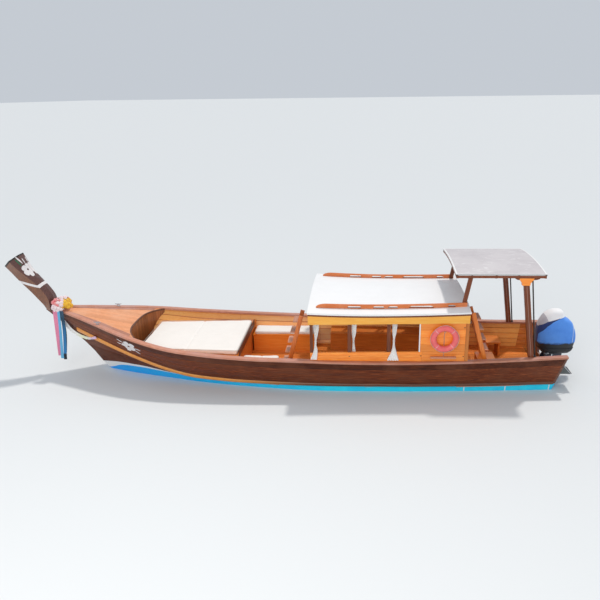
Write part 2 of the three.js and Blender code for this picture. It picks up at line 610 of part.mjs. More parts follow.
// Benches inside the cabin
const CABIN_BENCH = { x0: 900, x1: 3940, y0: 800, top: 590 };
const cabinBench = join(
  box(CABIN_BENCH.x0, CABIN_BENCH.x1, CABIN_BENCH.y0, 1400, CABIN_BENCH.top - 35, CABIN_BENCH.top),
  box(CABIN_BENCH.x0, CABIN_BENCH.x1, CABIN_BENCH.y0 + 15, CABIN_BENCH.y0 + 45, SOLE_Z + GAP, CABIN_BENCH.top - 10),
).intersect(inside);
for (const [side, sign] of BENCH_SIDES) {
  add(`cabin_bench_${side}`, sign > 0 ? cabinBench : mirrorY(cabinBench), 'orange');
}

// Curtains on a rod inside the window heads. The first and last are tied at their posts and
// hang on outside the wall. Columns: x, whether it hangs on outside, then its foot's height,
// forward and aft edges.
const CURTAINS = [[702, true, 885, -125, 30], [1520, false, 960, -45, 60], [2390, true, 850, -150, 120]];
const ROD = { x0: 641, x1: 2935, z: 1722, radius: 8, in: 50 };
// Rings of a curtain above its foot. Columns: height, forward and aft edges, then inner and outer
// face from the wall.
const HANGING = [
  [1300, -20, 20, -110, -70], [1420, -38, 50, -112, -68], [1725, -40, 75, -116, -64],
];
const TIED_BACK = [
  [1120, -40, 45, 8, 34], [1240, -24, 20, -12, 26], [1330, -20, 26, -42, 4],
  [1450, -34, 60, -80, -44], [1725, -40, 85, -110, -72],
];
const FOOT_OUTSIDE = [8, 34];
const FOOT_INSIDE = [-116, -64];
function curtainSet() {
  const rodY = (x) => cabinY(x) - CABIN.wall - ROD.in;
  const parts = [bar([ROD.x0, rodY(ROD.x0), ROD.z], [ROD.x1, rodY(ROD.x1), ROD.z], ROD.radius, 8)];
  for (const [x, outside, footZ, foreX, aftX] of CURTAINS) {
    const wall = cabinY(x);
    const foot = [footZ, foreX, aftX, ...(outside ? FOOT_OUTSIDE : FOOT_INSIDE)];
    parts.push(loft([foot, ...(outside ? TIED_BACK : HANGING)].map(([z, x0, x1, y0, y1]) => [
      [x + x0, y0], [x + x1, y0], [x + x1, y1], [x + x0, y1]].map(([u, v]) => new THREE.Vector3(u, wall + v, z)))));
  }
  return join(...parts);
}
for (const [side, sign] of BENCH_SIDES) {
  add(`curtains_${side}`, sign > 0 ? curtainSet() : mirrorY(curtainSet()), 'cloth');
}

// A step box against the port side, where the aft ladder stands
const STEP_BOX = { x0: 4270, x1: 4670, y: -610, top: 740 };
add('step_box', box(STEP_BOX.x0, STEP_BOX.x1, -1400, STEP_BOX.y, SOLE_Z + GAP, STEP_BOX.top).intersect(inside),
  'orange');

// Ladders: two stringers and their treads, which stand proud to one side.
// Columns: name, foot x, foot z, head x, head z, middle y, width, treads' forward and aft edge.
const LADDERS = [
  ['forward_ladder', -70, SOLE_Z, 365, 1740, -830, 380, -150, 30, 6],
  ['aft_ladder', 4420, STEP_BOX.top, 4105, 1850, -860, 400, -30, 135, 4],
];
const LADDER_BOARD = 95;
for (const [name, x0, z0, x1, z1, y, wide, fore, aft, treads] of LADDERS) {
  const parts = [];
  for (const s of [-1, 1]) {
    parts.push(beam([x0 - (x1 - x0) * 0.1, y + s * wide / 2, z0 - (z1 - z0) * 0.1], [x1, y + s * wide / 2, z1], 32,
      LADDER_BOARD));
  }
  for (let i = 1; i <= treads; i += 1) {
    const t = i / (treads + 0.6);
    const [x, z] = [x0 + (x1 - x0) * t, z0 + (z1 - z0) * t];
    parts.push(box(x + fore, x + aft, y - wide / 2, y + wide / 2, z - 15, z + 15));
  }
  add(name, join(...parts).intersect(box(-9000, 9000, -3000, 3000, z0 + GAP, 3000)), 'orange');
}

// Life ring on the port side, hung on a bracket of its own
const RING = { x: 3470, z: 1375, outer: 300, tube: 62 };
function ringPlace(geometry) {
  return geometry.rotateX(Math.PI / 2).rotateZ(cabinAngle)
    .translate(RING.x, -(cabinY(RING.x) + RING.tube + FASCIA.out - 20), RING.z);
}
const ringGeometry = new THREE.TorusGeometry(RING.outer - RING.tube, RING.tube, 12, 36);
add('life_ring', solid(ringPlace(ringGeometry)), 'ring');
const ringY = cabinY(RING.x);
const shelf = box(RING.x - 285, RING.x + 265, -ringY - 70, -ringY + 6, RING.z - 465, RING.z - 435);
const hook = box(RING.x - 18, RING.x + 18, -ringY - 120, -ringY + 4, RING.z + 148, RING.z + 186);
const wallCutter = mirrorY(sideBoard(CABIN_STEPS, () => 500, () => 2500, GAP, 200));
const strap = box(RING.x - 11, RING.x + 11, -ringY - 7, -ringY + 6, RING.z - 445, RING.z + 160);
add('ring_bracket', join(shelf, hook, strap).subtract(wallCutter)
  .subtract(solid(ringPlace(new THREE.TorusGeometry(RING.outer - RING.tube, RING.tube + GAP, 12, 36)))), 'white');

// Canopy over the cockpit, with boards under its sheet; its forward struts stand on the cabin roof
const STRUT = { foot: 3865, head: 4030, y: 1010, width: 60, thick: 92 };
const CANOPY = { x0: 3680, x1: 5575, half: 1110, low: 2640, thick: 90, camber: 70, post: 90 };
function canopyGrid(rise, inset) {
  const xs = [CANOPY.x0 + inset, CANOPY.x0 + 300, 4300, 4650, 5000, 5300, CANOPY.x1 - inset];
  return xs.map((x) => ACROSS.map((t) =>
    new THREE.Vector3(x, t * (CANOPY.half - inset), CANOPY.low + rise + CANOPY.camber * (1 - t * t))));
}
const SHEET_THICK = 28;
const canopySheet = sheet(canopyGrid(CANOPY.thick, 0), canopyGrid(CANOPY.thick - SHEET_THICK, 0));
const EDGE_BOARD = 45;
// Outline across the canopy from its lower edge to just under its sheet
const canopyArch = [...ACROSS.map((t) => [t * CANOPY.half, CANOPY.low + CANOPY.camber * (1 - t * t)]),
  ...ACROSS.slice().reverse().map((t) => [t * CANOPY.half, CANOPY.low + CANOPY.thick - 10
    + CANOPY.camber * (1 - t * t)])];
const CANOPY_BEAMS = [CANOPY.x0 + 8, STRUT.head - 40, 4500, 4970, CANOPY.x1 - 8 - EDGE_BOARD];
const canopyBoards = CANOPY_BEAMS.map((x) => slabYZ(canopyArch, x, x + EDGE_BOARD));
for (const s of [-1, 1]) {
  const y = s > 0 ? CANOPY.half - EDGE_BOARD : -CANOPY.half;
  canopyBoards.push(box(CANOPY.x0 + 8, CANOPY.x1 - 8, y, y + EDGE_BOARD, CANOPY.low + 6,
    CANOPY.low + CANOPY.thick - 15));
}
add('canopy_roof', join(canopySheet, ...canopyBoards), 'white');
const canopyCutter = sheet(canopyGrid(500, 0), canopyGrid(-GAP, 0));

// Canopy posts with their corbels, and the struts at its forward end
const POST = { foot: 5410, head: 5140, y: 1070, width: 90, thick: 125 };
const CORBEL = [[-215, 2630], [-125, 2610], [-85, 2560], [-65, 2480], [105, 2480], [125, 2560], [165, 2610],
  [295, 2630], [295, 2700], [-215, 2700]].map(([x, z]) => [POST.head + x, z]);
const CORBEL_PROUD = 8;        // how far it stands out of the post's sides
function canopyPost() {
  const foot = sheerZ(POST.foot) + GAP;
  const upright = beam([POST.foot, POST.y, foot - 60], [POST.head, POST.y, CANOPY.low + 60], POST.width, POST.thick);
  const reach = POST.width / 2 + CORBEL_PROUD;
  const corbel = slabXZ(CORBEL, POST.y - reach, Math.min(POST.y + reach, CANOPY.half));
  return join(upright, corbel).subtract(canopyCutter)
    .intersect(box(-9000, 9000, -3000, 3000, 700, 3000)).subtract(capCutter);
}
function canopyStruts() {
  const parts = [-1, 1].map((s) => beam([STRUT.foot, s * STRUT.y, 1850], [STRUT.head, s * STRUT.y, 2740],
    STRUT.width, STRUT.thick));
  parts.push(box(STRUT.head - 60, STRUT.head + 30, -STRUT.y, STRUT.y, 2560, 2760));
  const roofCutter = sheet(roofGrid(ROOF.thick + GAP), roofGrid(-400));
  return join(...parts).subtract(canopyCutter).subtract(roofCutter);
}
// Poles close behind the posts, from the caps to the corbels
const POLE = { foot: 5515, head: 5290, radius: 16 };
function sternPole() {
  const corbelCutter = slabXZ(CORBEL.map(([x, z]) => [x, z - GAP]), 0, 2 * POST.y);
  return bar([POLE.foot, POST.y, 700], [POLE.head, POST.y, 2640], POLE.radius).subtract(corbelCutter).subtract(capCutter);
}
for (const [side, sign] of BENCH_SIDES) {
  const turn = (body) => (sign > 0 ? body : mirrorY(body));
  add(`canopy_post_${side}`, turn(canopyPost()), 'varnish');
  add(`stern_pole_${side}`, turn(sternPole()), 'steel');
}

add('canopy_struts', canopyStruts(), 'varnish');

// Swim steps on the transom's corners, held by stays
const STEP = { y: 800, wide: 420, z: 372, reach: 330 };
function sternStep() {
  const x = transomBack(STEP.z) + GAP;
  const plate = box(x + 10, x + STEP.reach, STEP.y - STEP.wide / 2, STEP.y + STEP.wide / 2, STEP.z - 15, STEP.z + 15);
  const parts = [plate];
  for (const s of [-1, 1]) {
    const y = STEP.y + s * (STEP.wide / 2 - 25);
    parts.push(bar([transomBack(620) - 20, y, 620], [x + STEP.reach - 25, y, STEP.z], 9, 8));
    parts.push(box(x - 40, x + 60, y - 14, y + 14, STEP.z - 60, STEP.z + 10));
  }
  const transomCutter = loft([[-400, 0], [0, 0]].map(([shift]) => [
    [-1500, -600], [1500, -600], [1500, 1200], [-1500, 1200]].map(([y, z]) =>
    new THREE.Vector3(transomBack(z) + shift + GAP, y, z))));
  return join(...parts).subtract(transomCutter);
}
for (const [side, sign] of BENCH_SIDES) {
  add(`stern_step_${side}`, sign > 0 ? sternStep() : mirrorY(sternStep()), 'white');
}

// Helm: console against the aft bulkhead, wheel on a short shaft, and a box seat
const HELM = { x0: 3990.3, x1: 4300, y: 700, half: 260, low: 800, top: 980, wheel: 190, tube: 13, tilt: 20 };
const tilt = THREE.MathUtils.degToRad(HELM.tilt);
// The sloping face that the wheel's shaft comes out of, square to the shaft
const helmFace = [[HELM.x1 + 40, HELM.low], [HELM.x1 + 40 - (HELM.top - HELM.low) * Math.tan(tilt), HELM.top]];
add('helm_console', slabXZ([[HELM.x0, SOLE_Z + GAP], [HELM.x1, SOLE_Z + GAP], ...helmFace,
  [HELM.x0, HELM.top]], HELM.y - HELM.half, HELM.y + HELM.half), 'orange');
const WHEEL_AT = new THREE.Vector3(4430, HELM.y, 940);
function wheelPart(geometry) {
  return solid(geometry.rotateY(Math.PI / 2).rotateY(-tilt).translate(WHEEL_AT.x, WHEEL_AT.y, WHEEL_AT.z));
}
const wheelParts = [wheelPart(new THREE.TorusGeometry(HELM.wheel, HELM.tube, 8, 28))];
wheelParts.push(wheelPart(new THREE.CylinderGeometry(34, 34, 40, 16).rotateX(Math.PI / 2)));
for (let i = 0; i < 3; i += 1) {
  const spoke = new THREE.BoxGeometry(26, HELM.wheel, 10);
  wheelParts.push(wheelPart(spoke.translate(0, HELM.wheel / 2, 0).rotateZ(i * 2 * Math.PI / 3)));
}
const shaft = new THREE.CylinderGeometry(16, 16, 190, 12).rotateX(Math.PI / 2).translate(0, 0, -95);
wheelParts.push(wheelPart(shaft));
const [offX, offZ] = [GAP * Math.cos(tilt), GAP * Math.sin(tilt)];
const consoleCutter = slabXZ([[3000, 0], [helmFace[0][0] + offX, 0], [helmFace[0][0] + offX, helmFace[0][1] + offZ],
  [helmFace[1][0] + offX, helmFace[1][1] + offZ], [3000, 1500]], 0, 1500);
add('helm_wheel', join(...wheelParts).subtract(consoleCutter), 'black');
add('helm_seat', join(box(4780, 4820, 480, 900, SOLE_Z + GAP, 480), box(5060, 5100, 480, 900, SOLE_Z + GAP, 480),
  box(4760, 5120, 460, 920, 480, 520)), 'orange');

// Bow fittings, garland and ribbons
const CLEAT_X = -4420;
const cleatZ = sheerZ(CLEAT_X);
const cleatY = sheerY(CLEAT_X) - CAP_WIDTH / 2;
const cleat = join(box(CLEAT_X - 25, CLEAT_X + 25, cleatY - 18, cleatY + 18, cleatZ - 10, cleatZ + 45),
  box(CLEAT_X - 85, CLEAT_X + 85, cleatY - 14, cleatY + 14, cleatZ + 40, cleatZ + 64)).subtract(capCutter);
for (const [side, sign] of BENCH_SIDES) {
  add(`bow_cleat_${side}`, sign > 0 ? cleat : mirrorY(cleat), 'steel');
}
// Garland: a cluster of blossoms round the head's foot, resting on the deck's tip
const GARLAND = { x: -5505, y: -25, z: 1665, rx: 240, ry: 300, rz: 185 };
function blob(grow) {
  const ball = new THREE.SphereGeometry(1, 18, 12).scale(GARLAND.rx + grow, GARLAND.ry + grow, GARLAND.rz + grow);
  return solid(ball.translate(GARLAND.x, GARLAND.y, GARLAND.z));
}
const deckCutter = sheet(deckGrid(DECK_DROP - GAP), deckGrid(400));
add('bow_garland', blob(0).subtract(headCutter).subtract(capCutter).subtract(mirrorY(capCutter))
  .subtract(deckCutter).subtract(hullEnvelope).subtract(box(-6200, -5450, -172, 172, 1300, 1521)), 'garland');
// Ribbons hang from the garland on the port side of the stem
const RIBBONS = { y: -312, thick: 24 };
add('bow_ribbons', slabXZ([[-5650, 1640], [-5680, 900], [-5735, 480], [-5640, 350], [-5500, 340], [-5490, 900],
  [-5390, 1640]].reverse(), RIBBONS.y - RIBBONS.thick, RIBBONS.y).subtract(blob(GAP)), 'ribbon');

// Outboard motor
const TILT_AT = [6080, 0, 395];
const STEER_X = 6190;         // the steering tube's axis
const clampArms = [];
for (const s of [-1, 1]) {
  const y0 = s > 0 ? 95 : -125;
  clampArms.push(slabXZ([[5975, CUTOUT_Z + GAP], [6120, CUTOUT_Z + GAP], [6120, 100], [6145, 100], [6145, 430],
    [6020, 430], [5975, 360]], y0, y0 + 30));
}
const transomTopX = transomBack(CUTOUT_Z);
const clampPlate = box(transomTopX + 2, transomTopX + 30, -125, 125, 60, CUTOUT_Z + 20);
const transomFront = loft([0, 200].map((shift) => [[-1500, -600], [1500, -600], [1500, CUTOUT_Z], [-1500, CUTOUT_Z]]
  .map(([y, z]) => new THREE.Vector3(transomBack(z) + GAP - shift, y, z))));
const clampBody = join(...clampArms, clampPlate).subtract(transomFront);
const tiltTube = bar([TILT_AT[0], -128, TILT_AT[2]], [TILT_AT[0], 128, TILT_AT[2]], 20, 16);
add('motor_clamp', join(clampBody, tiltTube), 'motor');

// The swivel bracket: a boss on the tilt tube and the steering tube behind it
const TUBE = { low: 60, high: 440, radius: 28 };
const swivel = join(
  bar([TILT_AT[0], -86, TILT_AT[2]], [TILT_AT[0], 86, TILT_AT[2]], 36, 16),
  slabXZ([[6075, 375], [6110, 355], [6160, 90], [STEER_X, 75], [STEER_X, 425], [6075, 430]], -40, 40),
  bar([STEER_X, 0, TUBE.low], [STEER_X, 0, TUBE.high], TUBE.radius, 20),
).subtract(bar([TILT_AT[0], -200, TILT_AT[2]], [TILT_AT[0], 200, TILT_AT[2]], 20.6, 16));
add('motor_swivel', swivel, 'motor');

// The leg: two yokes on the steering tube's ends, a column, a plate over the propeller,
// the gearcase and its fin
const GEAR_Z = -620;
const column = slabXZ([[6250, 500], [6440, 500], [6420, 200], [6390, -380], [6380, -600], [6210, -600], [6235, -380],
  [6250, 0]], -48, 48);
const YOKE_THICK = 36;
const YOKE = [[STEER_X - 34, -24], [STEER_X - 24, -34], [6300, -44], [6300, 44], [STEER_X - 24, 34],
  [STEER_X - 34, 24]];
const yokes = join(slabXY(YOKE, TUBE.high + GAP, TUBE.high + YOKE_THICK),
  slabXY(YOKE, TUBE.low - YOKE_THICK, TUBE.low - GAP));
const plate = slabXY([[6170, -60], [6250, -110], [6700, -110], [6760, 0], [6700, 110], [6250, 110],
  [6170, 60]], -410, -395);
const gearcase = solid(new THREE.LatheGeometry([[0, -290], [26, -270], [48, -200], [56, -60], [56, 240], [0, 240]]
  .map(([r, h]) => new THREE.Vector2(r, h)), 20).rotateZ(-Math.PI / 2).translate(6500, 0, GEAR_Z));
const fin = slabXZ([[6260, -600], [6500, -600], [6560, -860], [6440, -860]], -9, 9);
add('motor_leg', join(column, yokes, plate, gearcase, fin), 'motor');

// Propeller: a hub and three blades
const PROP = { x0: 6740 + GAP, hub: 46, length: 110, radius: 178, blades: 3 };
const propParts = [solid(new THREE.CylinderGeometry(PROP.hub, PROP.hub * 0.85, PROP.length, 20)
  .rotateZ(-Math.PI / 2).translate(PROP.x0 + PROP.length / 2, 0, GEAR_Z))];
for (let i = 0; i < PROP.blades; i += 1) {
  const shape = extrude([[-30, 30], [30, 30], [70, 110], [45, PROP.radius - 8], [-10, PROP.radius], [-62, 120]], 9);
  shape.translate(0, 0, -4.5).rotateY(THREE.MathUtils.degToRad(62));
  shape.rotateX(i * 2 * Math.PI / PROP.blades).translate(PROP.x0 + PROP.length / 2, 0, GEAR_Z);
  propParts.push(solid(shape));
}
add('propeller', join(...propParts), 'steel');

// The cowl, its lower pan and the engine block inside.
// Columns: height, forward x, aft x, half width.
const COWL = [
  [640, 5840, 6680, 190], [760, 5800, 6700, 222], [880, 5788, 6710, 232], [1120, 5790, 6655, 234],
  [1320, 5860, 6530, 212], [1380, 5895, 6430, 200], [1450, 5950, 6390, 178], [1540, 6080, 6350, 128],
  [1572, 6160, 6310, 84],
];
const PAN = [[500, 5960, 6600, 120], [560, 5900, 6650, 175], [640 - GAP, 5840, 6685, 186]];
function bodyRing([z, x0, x1, half]) {
  const ring = [];
  for (let i = 0; i < 20; i += 1) {
    const a = i / 20 * 2 * Math.PI;
    const [c, s] = [Math.cos(a), Math.sin(a)];
    const round = (v) => Math.sign(v) * Math.abs(v) ** 0.6;
    ring.push(new THREE.Vector3((x0 + x1) / 2 + round(c) * (x1 - x0) / 2, round(s) * half, z));
  }
  return ring;
}
const cowl = loft(COWL.map(bodyRing));
const cowlHollow = loft(COWL.map(([z, x0, x1, half]) => bodyRing([z - 12, x0 + 14, x1 - 14, half - 14])));
add('motor_cowl', cowl.subtract(cowlHollow), 'cowl');
add('motor_pan', loft(PAN.map(bodyRing)).subtract(box(6180, 6470, -56, 56, 400, 500 + GAP)), 'black');
add('motor_block', box(5960, 6480, -150, 150, 640 + GAP, 1220), 'motor');

export default boat;
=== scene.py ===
"""Looks for a wooden longtail boat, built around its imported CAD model. Metres, the CAD's own frame."""
import math
import random

import bmesh
import bpy
import numpy as np
from mathutils import Matrix, Vector, noise


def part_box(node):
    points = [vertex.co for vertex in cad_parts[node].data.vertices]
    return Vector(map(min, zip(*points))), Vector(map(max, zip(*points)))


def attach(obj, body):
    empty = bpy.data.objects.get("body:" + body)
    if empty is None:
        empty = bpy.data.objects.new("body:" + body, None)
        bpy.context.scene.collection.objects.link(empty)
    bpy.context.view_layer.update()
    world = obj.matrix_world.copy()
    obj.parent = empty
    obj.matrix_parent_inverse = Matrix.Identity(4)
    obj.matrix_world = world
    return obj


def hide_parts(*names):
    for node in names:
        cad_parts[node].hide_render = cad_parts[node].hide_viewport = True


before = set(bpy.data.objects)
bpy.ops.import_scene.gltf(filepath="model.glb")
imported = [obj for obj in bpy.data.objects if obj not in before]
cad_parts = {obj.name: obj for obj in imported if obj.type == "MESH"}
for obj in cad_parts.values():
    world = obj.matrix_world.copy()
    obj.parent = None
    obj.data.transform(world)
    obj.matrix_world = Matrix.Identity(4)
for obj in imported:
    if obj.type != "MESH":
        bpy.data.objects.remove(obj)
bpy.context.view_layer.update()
scene = bpy.context.scene
HULL = "hull"
SIDES = (("starboard", 1), ("port", -1))
MM = .001
rng = random.Random(11)


def tone():
    """The next board's own tone."""
    return rng.uniform(-.5, .5)


def between(a, b, t):
    return a + (b - a) * t


def turns(count):
    """Even angles round a full turn."""
    return [2 * math.pi * k / count for k in range(count)]


# Camera
eye = Vector((1.7156, -13.3235, 6.3676))
ahead = Vector((-0.04612, 0.94420, -0.32614)).normalized()
right = ahead.cross(Vector((-0.00423, 0.32630, 0.94526))).normalized()
lens = bpy.data.cameras.new("camera")
lens.sensor_width = lens.lens = 36
lens.shift_x = -35 / 600
camera = bpy.data.objects.new("camera", lens)
camera.matrix_world = Matrix.Translation(eye) @ Matrix((right, right.cross(ahead), -ahead)).transposed().to_4x4()
scene.collection.objects.link(camera)
scene.camera = camera

# The hull's lines, as in the CAD. Columns: x, half-breadth, height.
SHEER = [
    (-5.6, .165, 1.56), (-5.41, .24, 1.53), (-4.87, .49, 1.445), (-4.59, .62, 1.395), (-3.98, .92, 1.285),
    (-3.41, 1.15, 1.18), (-2.61, 1.36, 1.05), (-1.87, 1.45, .98), (-1.15, 1.49, .93), (-.51, 1.5, .9),
    (.17, 1.495, .88), (1.05, 1.49, .85), (2.38, 1.45, .822), (3.4, 1.385, .815), (3.92, 1.345, .815),
    (5.15, 1.235, .828), (6.22, 1.15, .862)]
RAIL_LINE = [
    (-5.23, .12, 1.08), (-4.62, .41, .93), (-4, .62, .74), (-3.46, .75, .56), (-2.9, .82, .37), (-2.35, .885, .24),
    (-1.58, .985, .18), (-.6, 1.105, .17), (.3, 1.18, .172), (2.4, 1.21, .176), (4, 1.16, .18), (6.1, 1.04, .2)]
BOOT_LINE = [
    (-4.66, .1, .2), (-4.1, .37, .29), (-3.6, .55, .3), (-2.91, .7, .22), (-2.35, .83, .175), (-1.58, .955, .145),
    (-.6, 1.09, .14), (.3, 1.172, .145), (2.4, 1.202, .15), (4, 1.152, .155), (6.1, 1.034, .175)]
WATER_LINE = [
    (-4.48, .098, 0), (-4, .27, 0), (-3.62, .385, 0), (-2.95, .565, 0), (-2.2, .765, 0), (-1.59, .89, 0),
    (-.48, 1.055, 0), (.31, 1.15, 0), (2.41, 1.18, 0), (3.46, 1.14, 0), (4.81, 1.08, 0), (6, 1, 0)]
CHINE_LINE = [
    (-4.25, .098, -.15), (-3.6, .29, -.165), (-2.95, .475, -.16), (-2.2, .69, -.15), (-.48, 1, -.14),
    (.31, 1.09, -.135), (2.41, 1.14, -.13), (4.81, 1.04, -.13), (6, .96, -.13)]
KEEL_LINE = [
    (-3.9, .096, -.29), (-3.2, .08, -.36), (-2.2, .07, -.395), (0, .07, -.4), (4, .07, -.395), (6, .07, -.37)]
PLANK, STEM_HALF = .04, .055
CAP_WIDTH, CAP_THICK, CAP_OUT = .135, .05, .018
FIRST_X, BOW_X, STERN_X, TRANSOM_X, TRANSOM_Z, TRANSOM_RAKE = -5.6, -3.0, 5.2, 6.17, .862, .30
SOLE_Z = .14


def curve(table, column=1):
    """A smooth curve through a table's rows that never overshoots them."""
    xs = [row[0] for row in table]
    ys = [row[column] for row in table]
    steps = [(ys[i + 1] - ys[i]) / (xs[i + 1] - xs[i]) for i in range(len(xs) - 1)]
    slopes = [steps[0]]
    for i in range(1, len(xs) - 1):
        h0, h1 = xs[i] - xs[i - 1], xs[i + 1] - xs[i]
        turning = steps[i - 1] * steps[i] <= 0
        slopes.append(0 if turning else (steps[i - 1] * h1 + steps[i] * h0) / (h0 + h1))
    slopes.append(steps[-1])

    def value(x):
        if x <= xs[0]:
            return ys[0] + slopes[0] * (x - xs[0])
        if x >= xs[-1]:
            return ys[-1] + slopes[-1] * (x - xs[-1])
        i = next(k for k in range(1, len(xs)) if x <= xs[k])
        h = xs[i] - xs[i - 1]
        t = (x - xs[i - 1]) / h
        a, b = slopes[i - 1] * h, slopes[i] * h
        rise = ys[i] - ys[i - 1]
        return ys[i - 1] + t * (a + t * (3 * rise - 2 * a - b + t * (a + b - 2 * rise)))
    return value


sheer_y, sheer_z = curve(SHEER), curve(SHEER, 2)
LEVELS = [(table[0][0], curve(table), curve(table, 2)) for table in (
    [(x, y - CAP_OUT, z - CAP_THICK) for x, y, z in SHEER],
    RAIL_LINE, BOOT_LINE, WATER_LINE, CHINE_LINE, KEEL_LINE)]


def transom_x(z):
    return TRANSOM_X - TRANSOM_RAKE * (TRANSOM_Z - z)


def level_point(k, station):
    start, half, height = LEVELS[k]
    x = station
    if station < BOW_X:
        x = BOW_X + (station - BOW_X) * (BOW_X - start) / (BOW_X - FIRST_X)
    if station > STERN_X:
        end = transom_x(height(TRANSOM_X - .15)) - .3 * MM
        x = STERN_X + (station - STERN_X) * (end - STERN_X) / (TRANSOM_X - STERN_X)
    return Vector((x, half(x), height(x)))


def section(station, t):
    """A point of the starboard skin: t is 0 at the gunwale, 1 at the rail, 2 at the boot top, 5 at the keel."""
    last = len(LEVELS) - 1
    k = min(int(t), last - 1)
    s = t - k
    p = [level_point(min(max(k + d, 0), last), station) for d in (-1, 0, 1, 2)]
    if k == 0:
        p[0] = 2 * p[1] - p[2]
    a, b = (((q - r) * .32).lerp(p[2] - p[1], .55) for q, r in ((p[2], p[0]), (p[3], p[1])))
    s2, s3 = s * s, s * s * s
    out = p[1] * (2 * s3 - 3 * s2 + 1) + a * (s3 - 2 * s2 + s) + p[2] * (3 * s2 - 2 * s3) + b * (s3 - s2)
    out.y = max(out.y, STEM_HALF + .3 * MM)
    return out


def normal_at(station, t):
    e = .02
    du = section(min(station + e, TRANSOM_X), t) - section(max(station - e, FIRST_X), t)
    dv = section(station, min(t + .05, 5)) - section(station, max(t - .05, 0))
    n = du.cross(dv).normalized()
    return n if n.y > 0 else -n


def breadth(x, z, inset=PLANK):
    """Half-breadth inside the planking at a height."""
    rows = []
    for t in np.linspace(0, 4.999, 26):
        start = between(LEVELS[int(t)][0], LEVELS[int(t) + 1][0], t % 1)
        p = section(x if x > BOW_X else BOW_X + (x - BOW_X) * (BOW_X - FIRST_X) / (BOW_X - start), t)
        rows.append((p.y, p.z))
    for (y0, z0), (y1, z1) in zip(rows, rows[1:]):
        if z1 <= z <= z0:
            lean = math.hypot(y0 - y1, z0 - z1) / max(abs(z0 - z1), 1e-4)
            return y1 + (y0 - y1) * (z - z1) / (z0 - z1) - inset * min(lean, 3)
    return rows[0][0] - inset if z > rows[0][1] else 0


# Materials
def dim(color, share):
    return tuple(c * share for c in color)


class Nodes:
    """A short way to write a material's nodes."""
    def __init__(self, name, color, rough, **sockets):
        self.material = bpy.data.materials.new(name)
        self.material.use_nodes = True
        self.tree = self.material.node_tree
        self.shader = self.tree.nodes["Principled BSDF"].inputs
        self.shader["Base Color"].default_value = (*color, 1)
        self.shader["Roughness"].default_value = rough
        for key, value in sockets.items():
            self.shader[key.replace("_", " ")].default_value = value

    def put(self, socket, value):
        """Links a node's output to a socket, or sets a plain value there."""
        if hasattr(value, "is_output"):
            self.tree.links.new(value, socket)
        else:
            socket.default_value = (*value, 1) if socket.type == "RGBA" else value

    def node(self, kind, values, **fields):
        """Adds a node and gives its outputs."""
        made = self.tree.nodes.new(kind)
        for key, value in fields.items():
            setattr(made, key, value)
        for key, value in values.items():
            self.put(made.inputs[key], value)
        return made.outputs

    def coords(self):
        return self.node("ShaderNodeTexCoord", {})["Object"]

    def axis(self, which):
        return self.node("ShaderNodeSeparateXYZ", {0: self.coords()})[which]

    def noise(self, scale, detail=4, rough=.5, stretch=(1, 1, 1), distortion=0):
        place = self.node("ShaderNodeMapping", {"Vector": self.coords(), "Scale": stretch})[0]
        return self.node("ShaderNodeTexNoise", {"Vector": place, "Scale": scale, "Detail": detail,
                                                "Roughness": rough, "Distortion": distortion})["Fac"]

    def ramp(self, value, *stops):
        """Stops of (position, shade), a shade being a colour or a grey."""
        made = self.tree.nodes.new("ShaderNodeValToRGB")
        self.put(made.inputs[0], value)
        for _ in stops[2:]:
            made.color_ramp.elements.new(.5)
        for element, (at, shade) in zip(made.color_ramp.elements, stops):
            element.position = at
            element.color = (*shade, 1) if hasattr(shade, "__len__") else (shade, shade, shade, 1)
        return made.outputs[0]

    def mix(self, fac, a, b):
        return self.node("ShaderNodeMix", {0: fac, 6: a, 7: b}, data_type="RGBA")[2]

    def math(self, kind, *values):
        return self.node("ShaderNodeMath", dict(enumerate(values)), operation=kind)[0]

    def near(self, value, at, reach):
        """1 where a value is close to a number, 0 elsewhere."""
        return self.math("LESS_THAN", self.math("ABSOLUTE", self.math("SUBTRACT", value, at)), reach)

    def span(self, value, low, high, **fields):
        return self.node("ShaderNodeMapRange", {"Value": value, "From Min": low, "From Max": high}, **fields)[0]

    def tone(self):
        """Each board's own tone, a number from -0.5 to 0.5 kept on the mesh."""
        return self.node("ShaderNodeAttribute", {}, attribute_name="tone")["Fac"]

    def color(self, socket):
        self.put(self.shader["Base Color"], socket)

    def rough(self, value, low, high):
        self.put(self.shader["Roughness"],
                 self.node("ShaderNodeMapRange", {"Value": value, "To Min": low, "To Max": high})[0])

    def bump(self, *layers):
        """Layers of (value, depth in metres), added up."""
        normal = {}
        for value, depth in layers:
            values = {"Height": value, "Distance": depth, "Strength": 1}
            normal = {"Normal": self.node("ShaderNodeBump", {**values, **normal})[0]}
        self.put(self.shader["Normal"], normal["Normal"])


